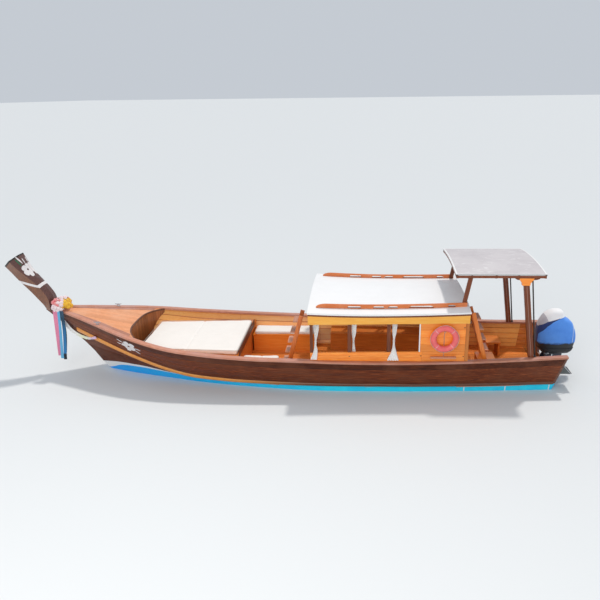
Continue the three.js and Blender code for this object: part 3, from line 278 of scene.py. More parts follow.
def wood(name, base, dark, light, along="x", rough=(.3, .5), coat=.2, weather=None, grain=1, spread=.5, shine=.4):
    """Varnished boards: grain along one axis, each board its own tone, patches where the sun has faded it."""
    n = Nodes(name, base, rough[0], Coat_Weight=coat, Coat_Roughness=.18, Specular_IOR_Level=shine)
    thin, fine = (tuple(1 if axis == along else k for axis in "xyz") for k in (9, 34))
    broad = n.noise(1.1, 5, .55, thin, .6)
    lines = n.noise(2.2, 6, .62, fine, .25)
    blotch = n.noise(1.7, 4, .6)
    shade = n.ramp(lines, (.30, dark), (.52, base), (.72, light))
    shade = n.mix(n.ramp(broad, (.35, 0), (.7, .75)), shade, n.mix(.5, dark, base))
    toned = n.math("MULTIPLY_ADD", n.tone(), spread, 1)
    shade = n.node("ShaderNodeHueSaturation", {"Color": shade, "Value": toned})[0]
    if weather:
        shade = n.mix(n.ramp(blotch, (.45, 0), (.75, .8)), shade, weather)
    n.color(shade)
    n.rough(blotch, *rough)
    n.bump((lines, .0007 * grain), (broad, .0015 * grain), (n.noise(260, 2), .00008))
    return n.material


def plain(name, base, rough, dirt, bumps=((90, .0002),), patch=2.5, **sockets):
    """Paint, plastic or metal with uneven colour and a slightly uneven surface."""
    n = Nodes(name, base, rough, **sockets)
    cloud = n.noise(patch, 6, .6)
    speck = n.noise(patch * 22, 3, .6)
    shade = n.mix(n.ramp(cloud, (.35, 0), (.7, 1)), base, dim(base, 1 - dirt))
    n.color(n.mix(n.ramp(speck, (.6, 0), (.8, .35)), shade, dim(base, 1 - 2.2 * dirt)))
    n.rough(cloud, rough * .8, min(rough * 1.25, 1))
    n.bump(*[(n.noise(scale, 3), depth) for scale, depth in bumps])
    return n.material


def fabric(name, base, weave, fuzz, dirt):
    """Woven cloth: crossed threads, faint stains and a soft sheen."""
    n = Nodes(name, base, .85, Sheen_Weight=fuzz, Sheen_Roughness=.5)
    thread = n.math("MULTIPLY", *[
        n.node("ShaderNodeTexWave", {"Vector": n.coords(), "Scale": weave, "Distortion": .4},
               bands_direction=axis)["Fac"] for axis in "XY"])
    shade = n.mix(n.ramp(n.noise(3, 6, .6), (.35, 0), (.75, 1)), base, dim(base, 1 - dirt))
    n.color(n.mix(n.ramp(thread, (0, .25), (.6, 0)), shade, dim(base, .7)))
    n.bump((thread, .0002), (n.noise(45, 4), .0006))
    return n.material


def petal(name, inner, outer):
    """Petal cloth: each blossom part its own tone between two colours."""
    n = Nodes(name, inner, .85, Sheen_Weight=.3)
    shade = n.mix(n.math("ADD", n.tone(), .5), inner, outer)
    n.color(n.mix(n.ramp(n.noise(40, 3), (.4, 0), (.7, .5)), shade, dim(outer, .75)))
    n.bump((n.noise(120, 3), .0008))
    return n.material


def dyed(name, axis, low, high, *stops):
    """Cloth dyed along one axis."""
    n = Nodes(name, stops[0][1], .8, Sheen_Weight=.3)
    n.color(n.ramp(n.span(n.axis(axis), low, high), *stops))
    n.bump((n.noise(300, 2), .0002), (n.noise(30, 3), .0006))
    return n.material


def canopy_paint():
    """Weathered grey-lilac paint with pale scuffs along the canopy."""
    n = Nodes("canopy_paint", (.60, .56, .575), .5)
    scuffs = n.noise(3.2, 6, .7, (1, 3.2, 1), .8)
    cloud = n.noise(1.1, 5, .6)
    shade = n.mix(n.ramp(cloud, (.35, 0), (.7, 1)), (.64, .60, .61), (.52, .48, .50))
    shade = n.mix(n.ramp(scuffs, (.56, 0), (.68, .85)), shade, (.80, .78, .78))
    n.color(n.mix(n.ramp(n.noise(24, 4, .6), (.6, 0), (.75, .35)), shade, (.42, .38, .40)))
    n.rough(cloud, .4, .6)
    n.bump((scuffs, .0008), (n.noise(140, 2), .0001))
    return n.material


def cover_cloth():
    """The motor's fitted cover: blue below, pale top with its forward face grey as painted shade, a dark navy band
    in front narrowing aft, near-black along the lower edge and light piping aft.
    """
    n = Nodes("cover_cloth", (.075, .25, .80), .7, Sheen_Weight=.2)
    x, z = n.axis(0), n.axis(2)
    along, height = n.span(x, 5.7, 6.7), n.span(z, 1.0, 1.6)
    edge = n.ramp(along, (0, .05), (.07, .17), (.13, .35), (.29, .53), (.54, .655), (.66, .69), (1, .69))
    cloud = n.noise(4, 5, .6)
    blue = n.mix(n.ramp(cloud, (.3, 0), (.75, 1)), (.105, .35, .95), (.065, .25, .80))
    # A dark navy band below the pale top, wide in front and narrowing aft.
    front_band = n.ramp(along, (0, .36), (.2, .26), (.42, .07), (.6, 0))
    blue = n.mix(n.math("LESS_THAN", n.math("SUBTRACT", edge, height), front_band), blue, (.012, .035, .16))
    # The pale top's forward face is painted grey: painted shade.
    forward = n.math("GREATER_THAN", x, n.math("MULTIPLY_ADD", z, -.45, 6.60))
    body = n.mix(n.math("GREATER_THAN", height, edge), blue, n.mix(forward, (.52, .51, .56), (.93, .92, .93)))
    body = n.mix(n.near(along, .90, .006), body, (.55, .68, .86))
    # Near-black along the cloth's lower edge, with a ragged upper line.
    hem = n.span(n.math("ADD", z, n.math("MULTIPLY", n.noise(14, 4, .7), .10)), .80, .87)
    n.color(n.mix(hem, (.010, .030, .10), body))
    n.rough(cloud, .6, .85)
    n.bump((n.noise(420, 2, .6), .0002), (cloud, .004), (n.noise(16, 4, .6), .0015))
    return n.material


def bottom_paint():
    """Blue paint, deeper towards the bow, with three small white marks aft."""
    n = Nodes("bottom_paint", (.02, .45, .83), .35)
    x = n.axis(0)
    cloud = n.noise(3.5, 6, .6)
    blue = n.ramp(n.span(x, -4.5, 1.0), (0, (.002, .36, .94)), (.5, (.006, .54, .96)), (1, (.026, .76, .97)))
    blue = n.mix(n.ramp(cloud, (.4, 0), (.75, .4)), blue, (.006, .42, .84))
    marks = [n.near(x, at, .012) for at in (3.99, 4.91, 5.895)]
    n.color(n.mix(n.math("ADD", n.math("ADD", *marks[:2]), marks[2]), blue, (.80, .82, .84)))
    n.rough(cloud, .3, .45)
    n.bump((n.noise(40, 3), .0005), (n.noise(12, 3), .001))
    return n.material


def banded(name, high, low, stretch):
    """Varnish above the boot top, a white band and blue below."""
    n = Nodes(name, (.13, .04, .018), .35, Coat_Weight=.3, Coat_Roughness=.2)
    z = n.axis(2)
    lines = n.noise(2.2, 6, .6, stretch)
    body = n.ramp(lines, (.3, (.05, .016, .009)), (.52, (.14, .045, .02)), (.75, (.26, .10, .05)))
    paint = n.mix(n.math("GREATER_THAN", z, low), (.015, .62, .95), (.80, .80, .79))
    n.color(n.mix(n.math("GREATER_THAN", z, high), paint, body))
    n.rough(lines, .3, .5)
    n.bump((lines, .0006))
    return n.material


def rail_paint():
    """Rub rails: orange forward, turning brown further aft."""
    n = Nodes("rail_paint", (.80, .30, .05), .35, Coat_Weight=.3, Coat_Roughness=.2)
    lines = n.noise(2.5, 6, .6, (1, 30, 30))
    bright = n.ramp(lines, (.3, (.62, .20, .03)), (.55, (.82, .33, .06)), (.75, (.9, .45, .12)))
    brown = n.ramp(lines, (.3, (.07, .022, .01)), (.55, (.16, .055, .024)), (.75, (.27, .11, .05)))
    fade = n.span(n.math("ADD", n.axis(0), n.math("MULTIPLY", lines, .9)), -1.2, 1.3,
                  interpolation_type="SMOOTHSTEP")
    n.color(n.mix(fade, bright, brown))
    n.rough(lines, .3, .5)
    n.bump((lines, .0006))
    return n.material


VARNISH = wood("dark_varnish", (.140, .030, .008), (.038, .008, .004), (.36, .090, .024), "x", (.4, .6), .05,
               (.19, .060, .026), 1.2, .7, .22)
VARNISH_UP = wood("dark_varnish_upright", (.16, .055, .025), (.06, .02, .01), (.28, .11, .05), "z")
CAP = wood("cap_wood", (.56, .235, .145), (.36, .125, .075), (.72, .37, .25), "x", (.4, .6), .1, (.55, .32, .28))
DECK = wood("deck_wood", (.82, .34, .145), (.66, .235, .09), (.90, .47, .25), "x", (.35, .55), .15,
            (.86, .45, .27), spread=.18)
ORANGE = wood("orange_varnish", (.74, .215, .030), (.46, .105, .012), (.90, .37, .085))
ORANGE_UP = wood("orange_varnish_upright", (.78, .25, .035), (.52, .13, .016), (.92, .40, .10), "z")
# A lighter copy of the orange varnish: painted sunlight on the faces it is given to.
ORANGE_PAINTED_SUN = wood("orange_varnish_painted_sun", (.95, .30, .038), (.74, .18, .018), (.97, .44, .10), "x", (.3, .45),
                     spread=.4)
CEILING = wood("ceiling_varnish", (.97, .45, .105), (.84, .32, .06), (.98, .58, .20), "x", (.3, .45), spread=.3)
GOLD = wood("golden_varnish", (.97, .47, .065), (.84, .34, .04), (.98, .60, .16), "x", (.3, .45), spread=.25)
TERRACOTTA = wood("rail_varnish", (.74, .20, .050), (.54, .12, .028), (.84, .31, .11), "x", (.35, .5), .15,
                  (.74, .26, .12))
POST_WOOD = wood("post_varnish", (.20, .052, .018), (.10, .024, .008), (.33, .10, .035), "z", coat=.15, shine=.3)
LADDER_WOOD = wood("ladder_varnish", (.58, .150, .030), (.34, .08, .016), (.76, .26, .07), "z", coat=.15)
STRINGER_WOOD = wood("stringer_varnish", (.84, .24, .035), (.60, .14, .018), (.92, .36, .08), "z")
TREAD_WOOD = wood("tread_wood", (.66, .30, .18), (.46, .18, .09), (.78, .46, .33), "y", (.4, .6), .1)
STAVE = wood("bulkhead_varnish", (.38, .125, .040), (.20, .055, .018), (.54, .21, .075), "z", coat=.15, shine=.3)
HEAD_WOOD = wood("head_varnish", (.21, .068, .022), (.10, .03, .012), (.38, .14, .045), "z", (.25, .45), .4)
# The aft faces' copy of the head's wood, darker and purplish: painted shade with a painted sky reflection.
HEAD_PAINTED_SHADE = wood("head_varnish_painted_shade", (.125, .05, .04), (.06, .022, .018), (.20, .09, .07), "z", (.25, .45), .4)
ROOF = plain("roof_paint", (.90, .895, .90), .5, .05, ((30, .0004), (160, .0001)), 1.6)
WHITE = plain("white_paint", (.88, .875, .87), .45, .06)
CREAM = fabric("cushion_cloth", (.94, .885, .83), 600, .2, .04)
# The piping's darker beige is painted shade along the cushion's edge.
CREAM_SHADE_LINE = plain("cushion_piping_painted_shade", (.60, .54, .48), .8, .1)
CLOTH = fabric("curtain_cloth", (.95, .93, .91), 900, .3, .04)
RING = plain("ring_shell", (.95, .165, .17), .45, .16, ((60, .0004),), 9)
RING_PALE = plain("ring_band", (.95, .40, .40), .5, .12, ((60, .0004),), 9)
TREAD_GREY = plain("tread_grey", (.10, .12, .12), .5, .2)
DARK_METAL = plain("dark_metal", (.045, .035, .032), .35, .2, Metallic=.4)
ROPE = fabric("grab_line", (.62, .52, .46), 300, .2, .15)
STEEL = plain("stainless_steel", (.62, .62, .64), .22, .15, ((300, .00003),), 12, Metallic=1)
BLACK = plain("black_shell", (.020, .022, .026), .45, .2, ((200, .0001),), 6)
MOTOR = plain("motor_paint", (.025, .035, .06), .35, .2, ((200, .00005),), 8, Coat_Weight=.3)
POST_LINE = plain("post_line", (.38, .20, .15), .5, .1)
DECAL = plain("decal_paint", (.84, .80, .80), .5, .1)
DECAL_GREEN = plain("leaf_paint", (.03, .13, .06), .5, .1)
DARK_END = plain("end_grain_paint", (.02, .018, .017), .5, .2)
RIBBON_PINK = fabric("ribbon_cloth_pink", (.86, .27, .42), 700, .3, .15)
RIBBON_SKY = fabric("ribbon_cloth_sky", (.16, .52, .80), 700, .3, .15)
RIBBON_GREEN = fabric("ribbon_cloth_green", (.05, .13, .10), 700, .3, .15)
RIBBON_NAVY = dyed("ribbon_cloth_navy", 2, .35, 1.5, (0, (.008, .012, .02)), (.10, (.01, .015, .03)),
                   (.13, (.03, .22, .50)), (.6, (.02, .16, .36)), (.85, (.01, .05, .09)), (1, (.03, .08, .14)))
RIBBON_PASTEL = dyed("ribbon_cloth_pastel", 0, -5.42, -4.56, (0, (.88, .87, .86)), (.25, (.86, .86, .84)),
                     (.45, (.85, .85, .60)), (.62, (.80, .80, .66)), (.8, (.75, .60, .78)), (1, (.74, .44, .62)))
PETALS = [petal("petal_pink", (.78, .08, .12), (.90, .45, .42)),
          petal("petal_white", (.90, .82, .80), (.92, .68, .72)),
          petal("petal_gold", (.90, .42, .02), (.92, .62, .05))]
CANOPY_TOP, COVER, BOTTOM, RAIL = canopy_paint(), cover_cloth(), bottom_paint(), rail_paint()


# Meshes
class Build:
    """Gathers closed solids into one mesh, each with a tone and a material."""
    def __init__(self):
        self.points, self.faces, self.tones, self.picks = [], [], [], []

    def add(self, points, tone=0.0):
        """Adds loose points and gives the first one's number."""
        base = len(self.points)
        self.points.extend(tuple(p) for p in points)
        self.tones.extend([tone] * (len(self.points) - base))
        return base

    def face(self, *corners, pick=0):
        self.faces.append(list(corners))
        self.picks.append(pick)

    def grid(self, rows, tone=0.0, pick=0, closed=False, flip=False):
        """Faces between rows of points. closed joins each row's ends."""
        count = len(rows[0])
        base = self.add([p for row in rows for p in row], tone)
        for i in range(len(rows) - 1):
            for j in range(count if closed else count - 1):
                a, b, k = base + i * count, base + (i + 1) * count, (j + 1) % count
                corners = (a + j, a + k, b + k, b + j)
                self.face(*(corners[::-1] if flip else corners), pick=pick(i, j) if callable(pick) else pick)
        return base

    def loft(self, rings, tone=0.0, pick=0):
        """A closed solid from rings of points."""
        rings = list(rings)
        count = len(rings[0])
        base = self.grid(rings, tone, pick, closed=True)
        last = base + (len(rings) - 1) * count
        end = 0 if callable(pick) else pick
        self.face(*(base + j for j in reversed(range(count))), pick=end)
        self.face(*(last + j for j in range(count)), pick=end)

    def shell(self, outer, inner, outer_pick=0, inner_pick=0):
        """Two sheets of points, joined along their edges."""
        a = self.grid(outer, 0, outer_pick)
        b = self.grid(inner, 0, inner_pick, flip=True)
        n, last = len(outer[0]), len(outer) - 1
        edges = [(i * n + j, (i + 1) * n + j) for j in (0, n - 1) for i in range(last)]
        edges += [(i * n + j, i * n + j + 1) for i in (0, last) for j in range(n - 1)]
        for p, q in edges:
            self.face(a + p, a + q, b + q, b + p)
        return a, b

    def strip(self, path, offsets, tone=0.0, pick=0):
        """A bar along a path of (x, y, z), with a section of (y, z) offsets."""
        self.loft([[(x, y + v, z + w) for v, w in offsets] for x, y, z in path], tone, pick)

    def block(self, low, high, tone=0.0, pick=0):
        (x0, y0, z0), (x1, y1, z1) = low, high
        self.loft([[(x, y0, z0), (x, y1, z0), (x, y1, z1), (x, y0, z1)] for x in (x0, x1)], tone, pick)

    def tube(self, path, radius, sides=10, tone=0.0, pick=0):
        """A round bar along a path; radius may be a list."""
        path = [Vector(p) for p in path]
        radii = radius if hasattr(radius, "__len__") else [radius] * len(path)
        rings, normal = [], None
        for i, p in enumerate(path):
            tangent = (path[min(i + 1, len(path) - 1)] - path[max(i - 1, 0)]).normalized()
            normal = tangent.orthogonal() if normal is None else normal
            normal = (normal - tangent * normal.dot(tangent)).normalized()
            other = tangent.cross(normal)
            rings.append([p + (normal * math.cos(a) + other * math.sin(a)) * radii[i] for a in turns(sides)])
        self.loft(rings, tone, pick)

    def lathe(self, profile, origin, axis, sides, tone=0.0, pick=0):
        """Rings of (radius, height) round an axis."""
        origin, axis = Vector(origin), Vector(axis).normalized()
        u = axis.orthogonal().normalized()
        v = axis.cross(u)
        self.loft([[origin + axis * h + (u * math.cos(a) + v * math.sin(a)) * max(r, .0002) for a in turns(sides)]
                   for r, h in profile], tone, pick)

    def slab(self, outline, low, high, plane="xz", tone=0.0, pick=0):
        """A flat outline given a thickness along the third axis."""
        put = (lambda u, v, w: (u, w, v)) if plane == "xz" else (lambda u, v, w: (w, u, v))
        self.loft([[put(u, v, w) for u, v in outline] for w in (low, high)], tone, pick)

    def done(self, name, materials, slot, node=None, bevel=0.0, smooth=35, sign=1, segments=2, body=HULL):
        if sign < 0:
            self.points = [(x, -y, z) for x, y, z in self.points]
            self.faces = [face[::-1] for face in self.faces]
        mesh = bpy.data.meshes.new(name)
        mesh.from_pydata(self.points, [], self.faces)
        mesh.update()
        for material in materials if isinstance(materials, list) else [materials]:
            mesh.materials.append(material)
        mesh.polygons.foreach_set("material_index", self.picks)
        mesh.attributes.new("tone", "FLOAT", "POINT").data.foreach_set("value", self.tones)
        work = bmesh.new()
        work.from_mesh(mesh)
        bmesh.ops.recalc_face_normals(work, faces=work.faces)
        work.to_mesh(mesh)
        work.free()
        shade(mesh, smooth)
        obj = bpy.data.objects.new(name, mesh)
        scene.collection.objects.link(obj)
        if bevel:
            soften(obj, bevel, segments)
        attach(obj, body)
        if node:
            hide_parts(node)
        return obj


def shade(mesh, angle):
    mesh.polygons.foreach_set("use_smooth", [True] * len(mesh.polygons))
    mesh.set_sharp_from_angle(angle=math.radians(angle))


def soften(obj, width, segments=2):
    bevel = obj.modifiers.new("bevel", "BEVEL")
    bevel.width = width
    bevel.segments = segments
    bevel.limit_method = "ANGLE"
    bevel.angle_limit = math.radians(40)
    bevel.harden_normals = True


def weld(obj, reach):
    obj.modifiers.new("weld", "WELD").merge_threshold = reach


def dress(name, material, bevel):
    """A CAD node that keeps its shape gets its material and softer edges."""
    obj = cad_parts[name]
    obj.data.materials.clear()
    obj.data.materials.append(material)
    weld(obj, .00005)
    soften(obj, bevel)


def chamfered(half_u, half_v, u, v):
    """A plank's section with cut corners; u and v are the shares of its half-sizes where the cuts begin."""
    return [(half_u * a, half_v * b) for a, b in (
        (-1, -v), (-u, -1), (u, -1), (1, -v), (1, v), (u, 1), (-u, 1), (-1, v))]


# Planking
STATIONS = [FIRST_X + (TRANSOM_X - FIRST_X) * i / 150 for i in range(151)]
STRAKES = [0, .27, .52, .76, 1.0, 1.5, 2.0]  # plank edges on the side
BOTTOM_STRAKES = [2, 2.3, 2.65, 3, 3.5, 4, 4.5, 5]
SEAM_HALF, SEAM_DEPTH = .012, .0035
WHITE_FROM = -2.05
WHITE_BAND = curve([(-5.6, .8), (-5.3, .62), (-5.0, .40), (-4.6, .28), (-4.2, .24), (-3.6, .22), (-3.0, .16),
                    (-2.4, .05), (WHITE_FROM, .03)])


def skin_rows(marks):
    """Section parameters with a small groove at each inner mark: (t, depth, strake)."""
    rows = []
    for k, (a, b) in enumerate(zip(marks, marks[1:])):
        last = k == len(marks) - 2
        lo, hi = a + (SEAM_HALF if k else 0), b - (0 if last else SEAM_HALF)
        rows += [(lo + (hi - lo) * s / 3, 0, k) for s in range(4)]
        if not last:
            rows.append((b, SEAM_DEPTH, k))
    return rows


def boot_top(station, t):
    """The white band's lower edge rises to the boot top as it runs aft."""
    edge = max(WHITE_BAND(station), .03) if station < WHITE_FROM else .03
    if t <= 2.3:
        return 2 + (t - 2) / .3 * edge
    return t + (edge - .3) * max(0, (2.9 - t) / .6)


def skin(name, marks, sign, materials, slot, node, white=False):
    """One side's planks, outer and inner faces, between the first and last mark."""
    rows = skin_rows(marks)
    build = Build()
    outer, inner = [], []
    for station in STATIONS:
        pairs = []
        for t, depth, strake in rows:
            t = boot_top(station, t) if white else t
            p, n = section(station, t), normal_at(station, t)
            a, b = p - n * depth, p - n * (PLANK - depth)
            b.y = max(b.y, STEM_HALF + .3 * MM)
            if t == 0:
                b.z = p.z
            a.x = b.x = p.x
            pairs.append((a, b))
        outer.append([a for a, b in pairs])
        inner.append([b for a, b in pairs])
    bases = build.shell(outer, inner, lambda i, j: int(white and j < 3 and STATIONS[i] < WHITE_FROM), 2)
    tones = [tone() for _ in marks]
    for i in range(len(STATIONS)):
        for j, (t, depth, strake) in enumerate(rows):
            for base, number in zip(bases, (strake, -1 - strake)):
                build.tones[base + i * len(rows) + j] = tones[number]
    build.done(name, materials, slot, node, sign=sign, smooth=28)


for side, sign in SIDES:
    skin(f"planks_{side}", STRAKES, sign, [VARNISH, WHITE, ORANGE], "varnish", f"hull_side_{side}")
    skin(f"bottom_{side}", BOTTOM_STRAKES, sign, [BOTTOM, WHITE, ORANGE], "bottom_paint", f"hull_bottom_{side}",
         True)
dress("stem_and_keel", banded("stem_varnish", .235, .06, (20, 20, 2)), .004)
dress("transom", banded("transom_varnish", .17, .169, (3, 30, 30)), .004)

# Gunwale caps, in lengths
CAP_JOINTS = [-5.56, -4.05, -2.3, -.35, 1.7, 3.75, 6.215]
for side, sign in SIDES:
    build = Build()
    for x0, x1 in zip(CAP_JOINTS, CAP_JOINTS[1:]):
        steps = max(int((x1 - x0) / .09), 4)
        rings = []
        for i in range(steps + 1):
            x = x0 + (x1 - x0 - .002) * i / steps
            y, z = sheer_y(x), sheer_z(x)
            yi, lo, r = max(y - CAP_WIDTH, .02), z - CAP_THICK + .3 * MM, .009
            rings.append([(x, yi, lo), (x, y - r, lo), (x, y, lo + r), (x, y, z - r), (x, y - r * .3, z - r * .3),
                          (x, y - r, z), (x, yi + r, z), (x, yi + r * .3, z - r * .3), (x, yi, z - r)])
        build.loft(rings, tone() * .6)
    build.done(f"cap_boards_{side}", CAP, "cap_wood", f"gunwale_cap_{side}", sign=sign, smooth=40)

# Rub rails
RAIL_OUT, RAIL_START, RAIL_END = .036, -5.172, 6.0
rail_high = curve([(-5.23, .13), (-3.4, .112), (-.6, .088), (6.1, .08)])
for side, sign in SIDES:
    build = Build()
    rings = []
    for station in STATIONS:
        p = section(station, 1)
        if not RAIL_START <= p.x <= RAIL_END:
            continue
        half = rail_high(p.x) / 2
        angles = [math.pi * (k / 8 - .5) for k in range(9)]
        ring = [p + Vector((0, RAIL_OUT * math.cos(a) ** .7 - .004, half * math.sin(a))) for a in angles[1:-1]]
        ends = [p + Vector((0, -.02, half * math.sin(a))) for a in (angles[0], angles[-1])]
        rings.append([ends[0], *ring, ends[1]])
    build.loft(rings)
    build.done(f"rub_rail_wood_{side}", RAIL, "rail_paint", f"rub_rail_{side}", sign=sign, smooth=50)


def laid(build, x0, x1, width, gap, half, top, thick, step, front=None):
    """Boards of one width laid fore and aft with open seams, inside the outline half(x). front(y) is the edge."""
    count = int(1.6 / width) + 1
    steps = int((x1 - x0) / step)
    xs = [x0 + (x1 - x0) * i / steps for i in range(steps + 1)]
    halves = [half(x) for x in xs]
    for number in range(-count, count + 1):
        a0, a1 = (number - .5) * width + gap / 2, (number + .5) * width - gap / 2
        shade_of, run = tone(), []
        for i, (x, h) in enumerate(zip(xs, halves)):
            lo, hi = max(a0, -h), min(a1, h)
            if hi - lo > .004:
                xa, xb = (front(lo), front(hi)) if front and i == 0 else (x, x)
                run.append([(xa, lo, top - thick), (xb, hi, top - thick), (xb, hi, top), (xa, lo, top)])
            if run and (hi - lo <= .004 or i == steps):
                if len(run) > 1:
                    build.loft(run, shade_of)
                run = []


# Foredeck boards
COAMING_X, COAMING_SWEEP, COAMING_HALF = -3.735, .25, .93
DECK_DROP, DECK_THICK = .022, .03
DECK_START, DECK_STEPS, DECK_BOARD, DECK_GAP = -5.47, 46, .098, .003


def coaming_x(y):
    return COAMING_X + COAMING_SWEEP * abs(y / COAMING_HALF) ** 3


def deck_top(x):
    return sheer_z(x) - DECK_DROP


build = Build()
for k in range(-12, 13):
    a0, a1 = (k - .5) * DECK_BOARD + DECK_GAP / 2, (k + .5) * DECK_BOARD - DECK_GAP / 2
    aft = coaming_x(max(abs(a0), abs(a1)) if k else 0)
    rings = []
    for i in range(DECK_STEPS + 1):
        x = between(DECK_START, aft, i / DECK_STEPS)
        h = sheer_y(x) - CAP_WIDTH - .3 * MM
        lo, hi = max(a0, -h), min(a1, h)
        if hi - lo > .003:
            xa, xb = (coaming_x(y) if i == DECK_STEPS else min(x, coaming_x(y) - .001) for y in (lo, hi))
            za, zb = deck_top(xa), deck_top(xb)
            rings.append([(xa, lo, za - DECK_THICK), (xb, hi, zb - DECK_THICK), (xb, hi, zb), (xa, lo, za)])
    if len(rings) > 2:
        build.loft(rings, tone())
build.done("foredeck_planks", DECK, "deck_wood", "foredeck", bevel=.0012, segments=1)

# A moulding along the deck's aft edge, and the staves of the curved bulkhead below it
build = Build()
edge = [(coaming_x(y), y, deck_top(coaming_x(y))) for y in (-1.04 + 2.08 * i / 40 for i in range(41))]
build.loft([[(x + u, y, z + w) for u, w in (
    (-.01, -.034), (.012, -.034), (.016, -.012), (.012, .004), (-.01, .008), (-.02, .001))] for x, y, z in edge])
build.done("coaming_moulding", VARNISH_UP, "varnish", smooth=50)
build = Build()
STAVES = 24
for i in range(STAVES):
    y0, y1 = (-1.12 + 2.24 * (i + e) / STAVES for e in (.015, .985))
    ends = []
    for y in (y0, (y0 + y1) / 2, y1):
        x = coaming_x(y) - .03
        low = SOLE_Z + .001
        while low < 1.2 and breadth(x, low, PLANK + .004) < abs(y):
            low += .01
        ends.append((x, y, low, deck_top(x) - DECK_THICK - .003))
    if min(hi - lo for x, y, lo, hi in ends) >= .02:
        build.loft([[(x, y, lo), (x + .03, y, lo), (x + .03, y, hi), (x, y, hi)] for x, y, lo, hi in ends], tone())
build.done("bulkhead_staves", STAVE, "varnish", "well_bulkhead", bevel=.002)

# Sole boards
build = Build()
laid(build, -3.5, 5.84, .135, .004, lambda x: min(breadth(x, SOLE_Z - .03) - .002, 1.3), SOLE_Z, .03, .15)
build.done("sole_boards", ORANGE, "orange_wood", "sole", bevel=.0015, segments=1)

# Stem head, with a ridge along each side. Columns: front x, z, ridge x, z, aft x, z, half-breadth of the ridge.
HEAD = [
    (-5.88, 1.52, -5.74, 1.52, -5.62, 1.52, .165), (-5.945, 1.64, -5.74, 1.77, -5.66, 1.835, .17),
    (-6.06, 1.79, -5.82, 1.95, -5.755, 2.025, .172), (-6.18, 1.95, -5.93, 2.138, -5.89, 2.205, .18),
    (-6.41, 2.23, -6.18, 2.405, -6.11, 2.488, .212), (-6.56, 2.44, -6.348, 2.6, -6.23, 2.715, .245),
    (-6.69, 2.61, -6.48, 2.77, -6.312, 2.885, .272)]
HEAD_EDGE = .4  # the edges' half-breadth as a share of the ridge's
HEAD_UP, HEAD_AFT = Vector((-.558, 0, .83)), Vector((.83, 0, .558))
head_curves = [curve([(i, row[k]) for i, row in enumerate(HEAD)]) for k in range(7)]


def head_point(s, u, sign=-1, proud=0.0):
    """A point of the stem head's side: s from its foot, 0, to its top, 6; u is -1 aft, 0 on the ridge, 1 in front.

    Below -1 it lies on the aft face and reaches the middle at -1.4."""
    fx, fz, rx, rz, ax, az, half = (c(s) for c in head_curves)
    narrow = sign * half * HEAD_EDGE
    if u < -1:
        return Vector((ax, narrow * (1 - min((-1 - u) / .4, 1)), az)) + HEAD_AFT * proud
    ridge = Vector((rx, sign * half, rz))
    edge = Vector((fx, narrow, fz)) if u > 0 else Vector((ax, narrow, az))
    normal = (edge - ridge).cross(HEAD_UP).normalized()
    return ridge.lerp(edge, abs(u)) + (normal if normal.y * sign > 0 else -normal) * proud


def decal(name, outlines, material=DECAL):
    """Painted shapes a hair proud of the wood: each is a fan of points round its first one."""
    build = Build()
    for points in outlines:
        base, last = build.add(points), len(points) - 1
        for k in range(1, last + 1):
            build.face(base, base + k, base + (k + 1 if k < last else 1))
    build.done(name, material, "varnish")


def turned(x, y, angle, u, w):
    return x + u * math.cos(angle) - w * math.sin(angle), y + u * math.sin(angle) + w * math.cos(angle)


def petals(turn):
    """Five rounded petals as outlines of unit size."""
    shapes = []
    for a in turns(5):
        ring = [turned(0, 0, a + turn, .56 + .44 * math.cos(b), .40 * math.sin(b) * (1 + .25 * math.cos(b)))
                for b in turns(18)]
        shapes.append([turned(0, 0, a + turn, .5, 0)] + ring)
    return shapes


def leaf(x, y, angle, length, width):
    ring = [turned(x, y, angle, length * (.5 - .5 * math.cos(b)), width * math.sin(b)) for b in turns(14)]
    return [turned(x, y, angle, length / 2, 0)] + ring


build = Build()
rings = [[head_point(6 * i / 36, u, sg) for sg, us in ((-1, (-1, -.5, 0, .5, 1)), (1, (1, .5, 0, -.5, -1)))
          for u in us] for i in range(37)]
# The aft faces take the darker copy: painted shade.
build.loft(rings[:36], 0, lambda i, j: int(j < 2 or j in (7, 8, 9)))
build.loft([[p.copy() for p in rings[35]], rings[36]], -.4, 2)
build.done("stem_head_timber", [HEAD_WOOD, HEAD_PAINTED_SHADE, DARK_END], "varnish", "stem_head", bevel=.005)

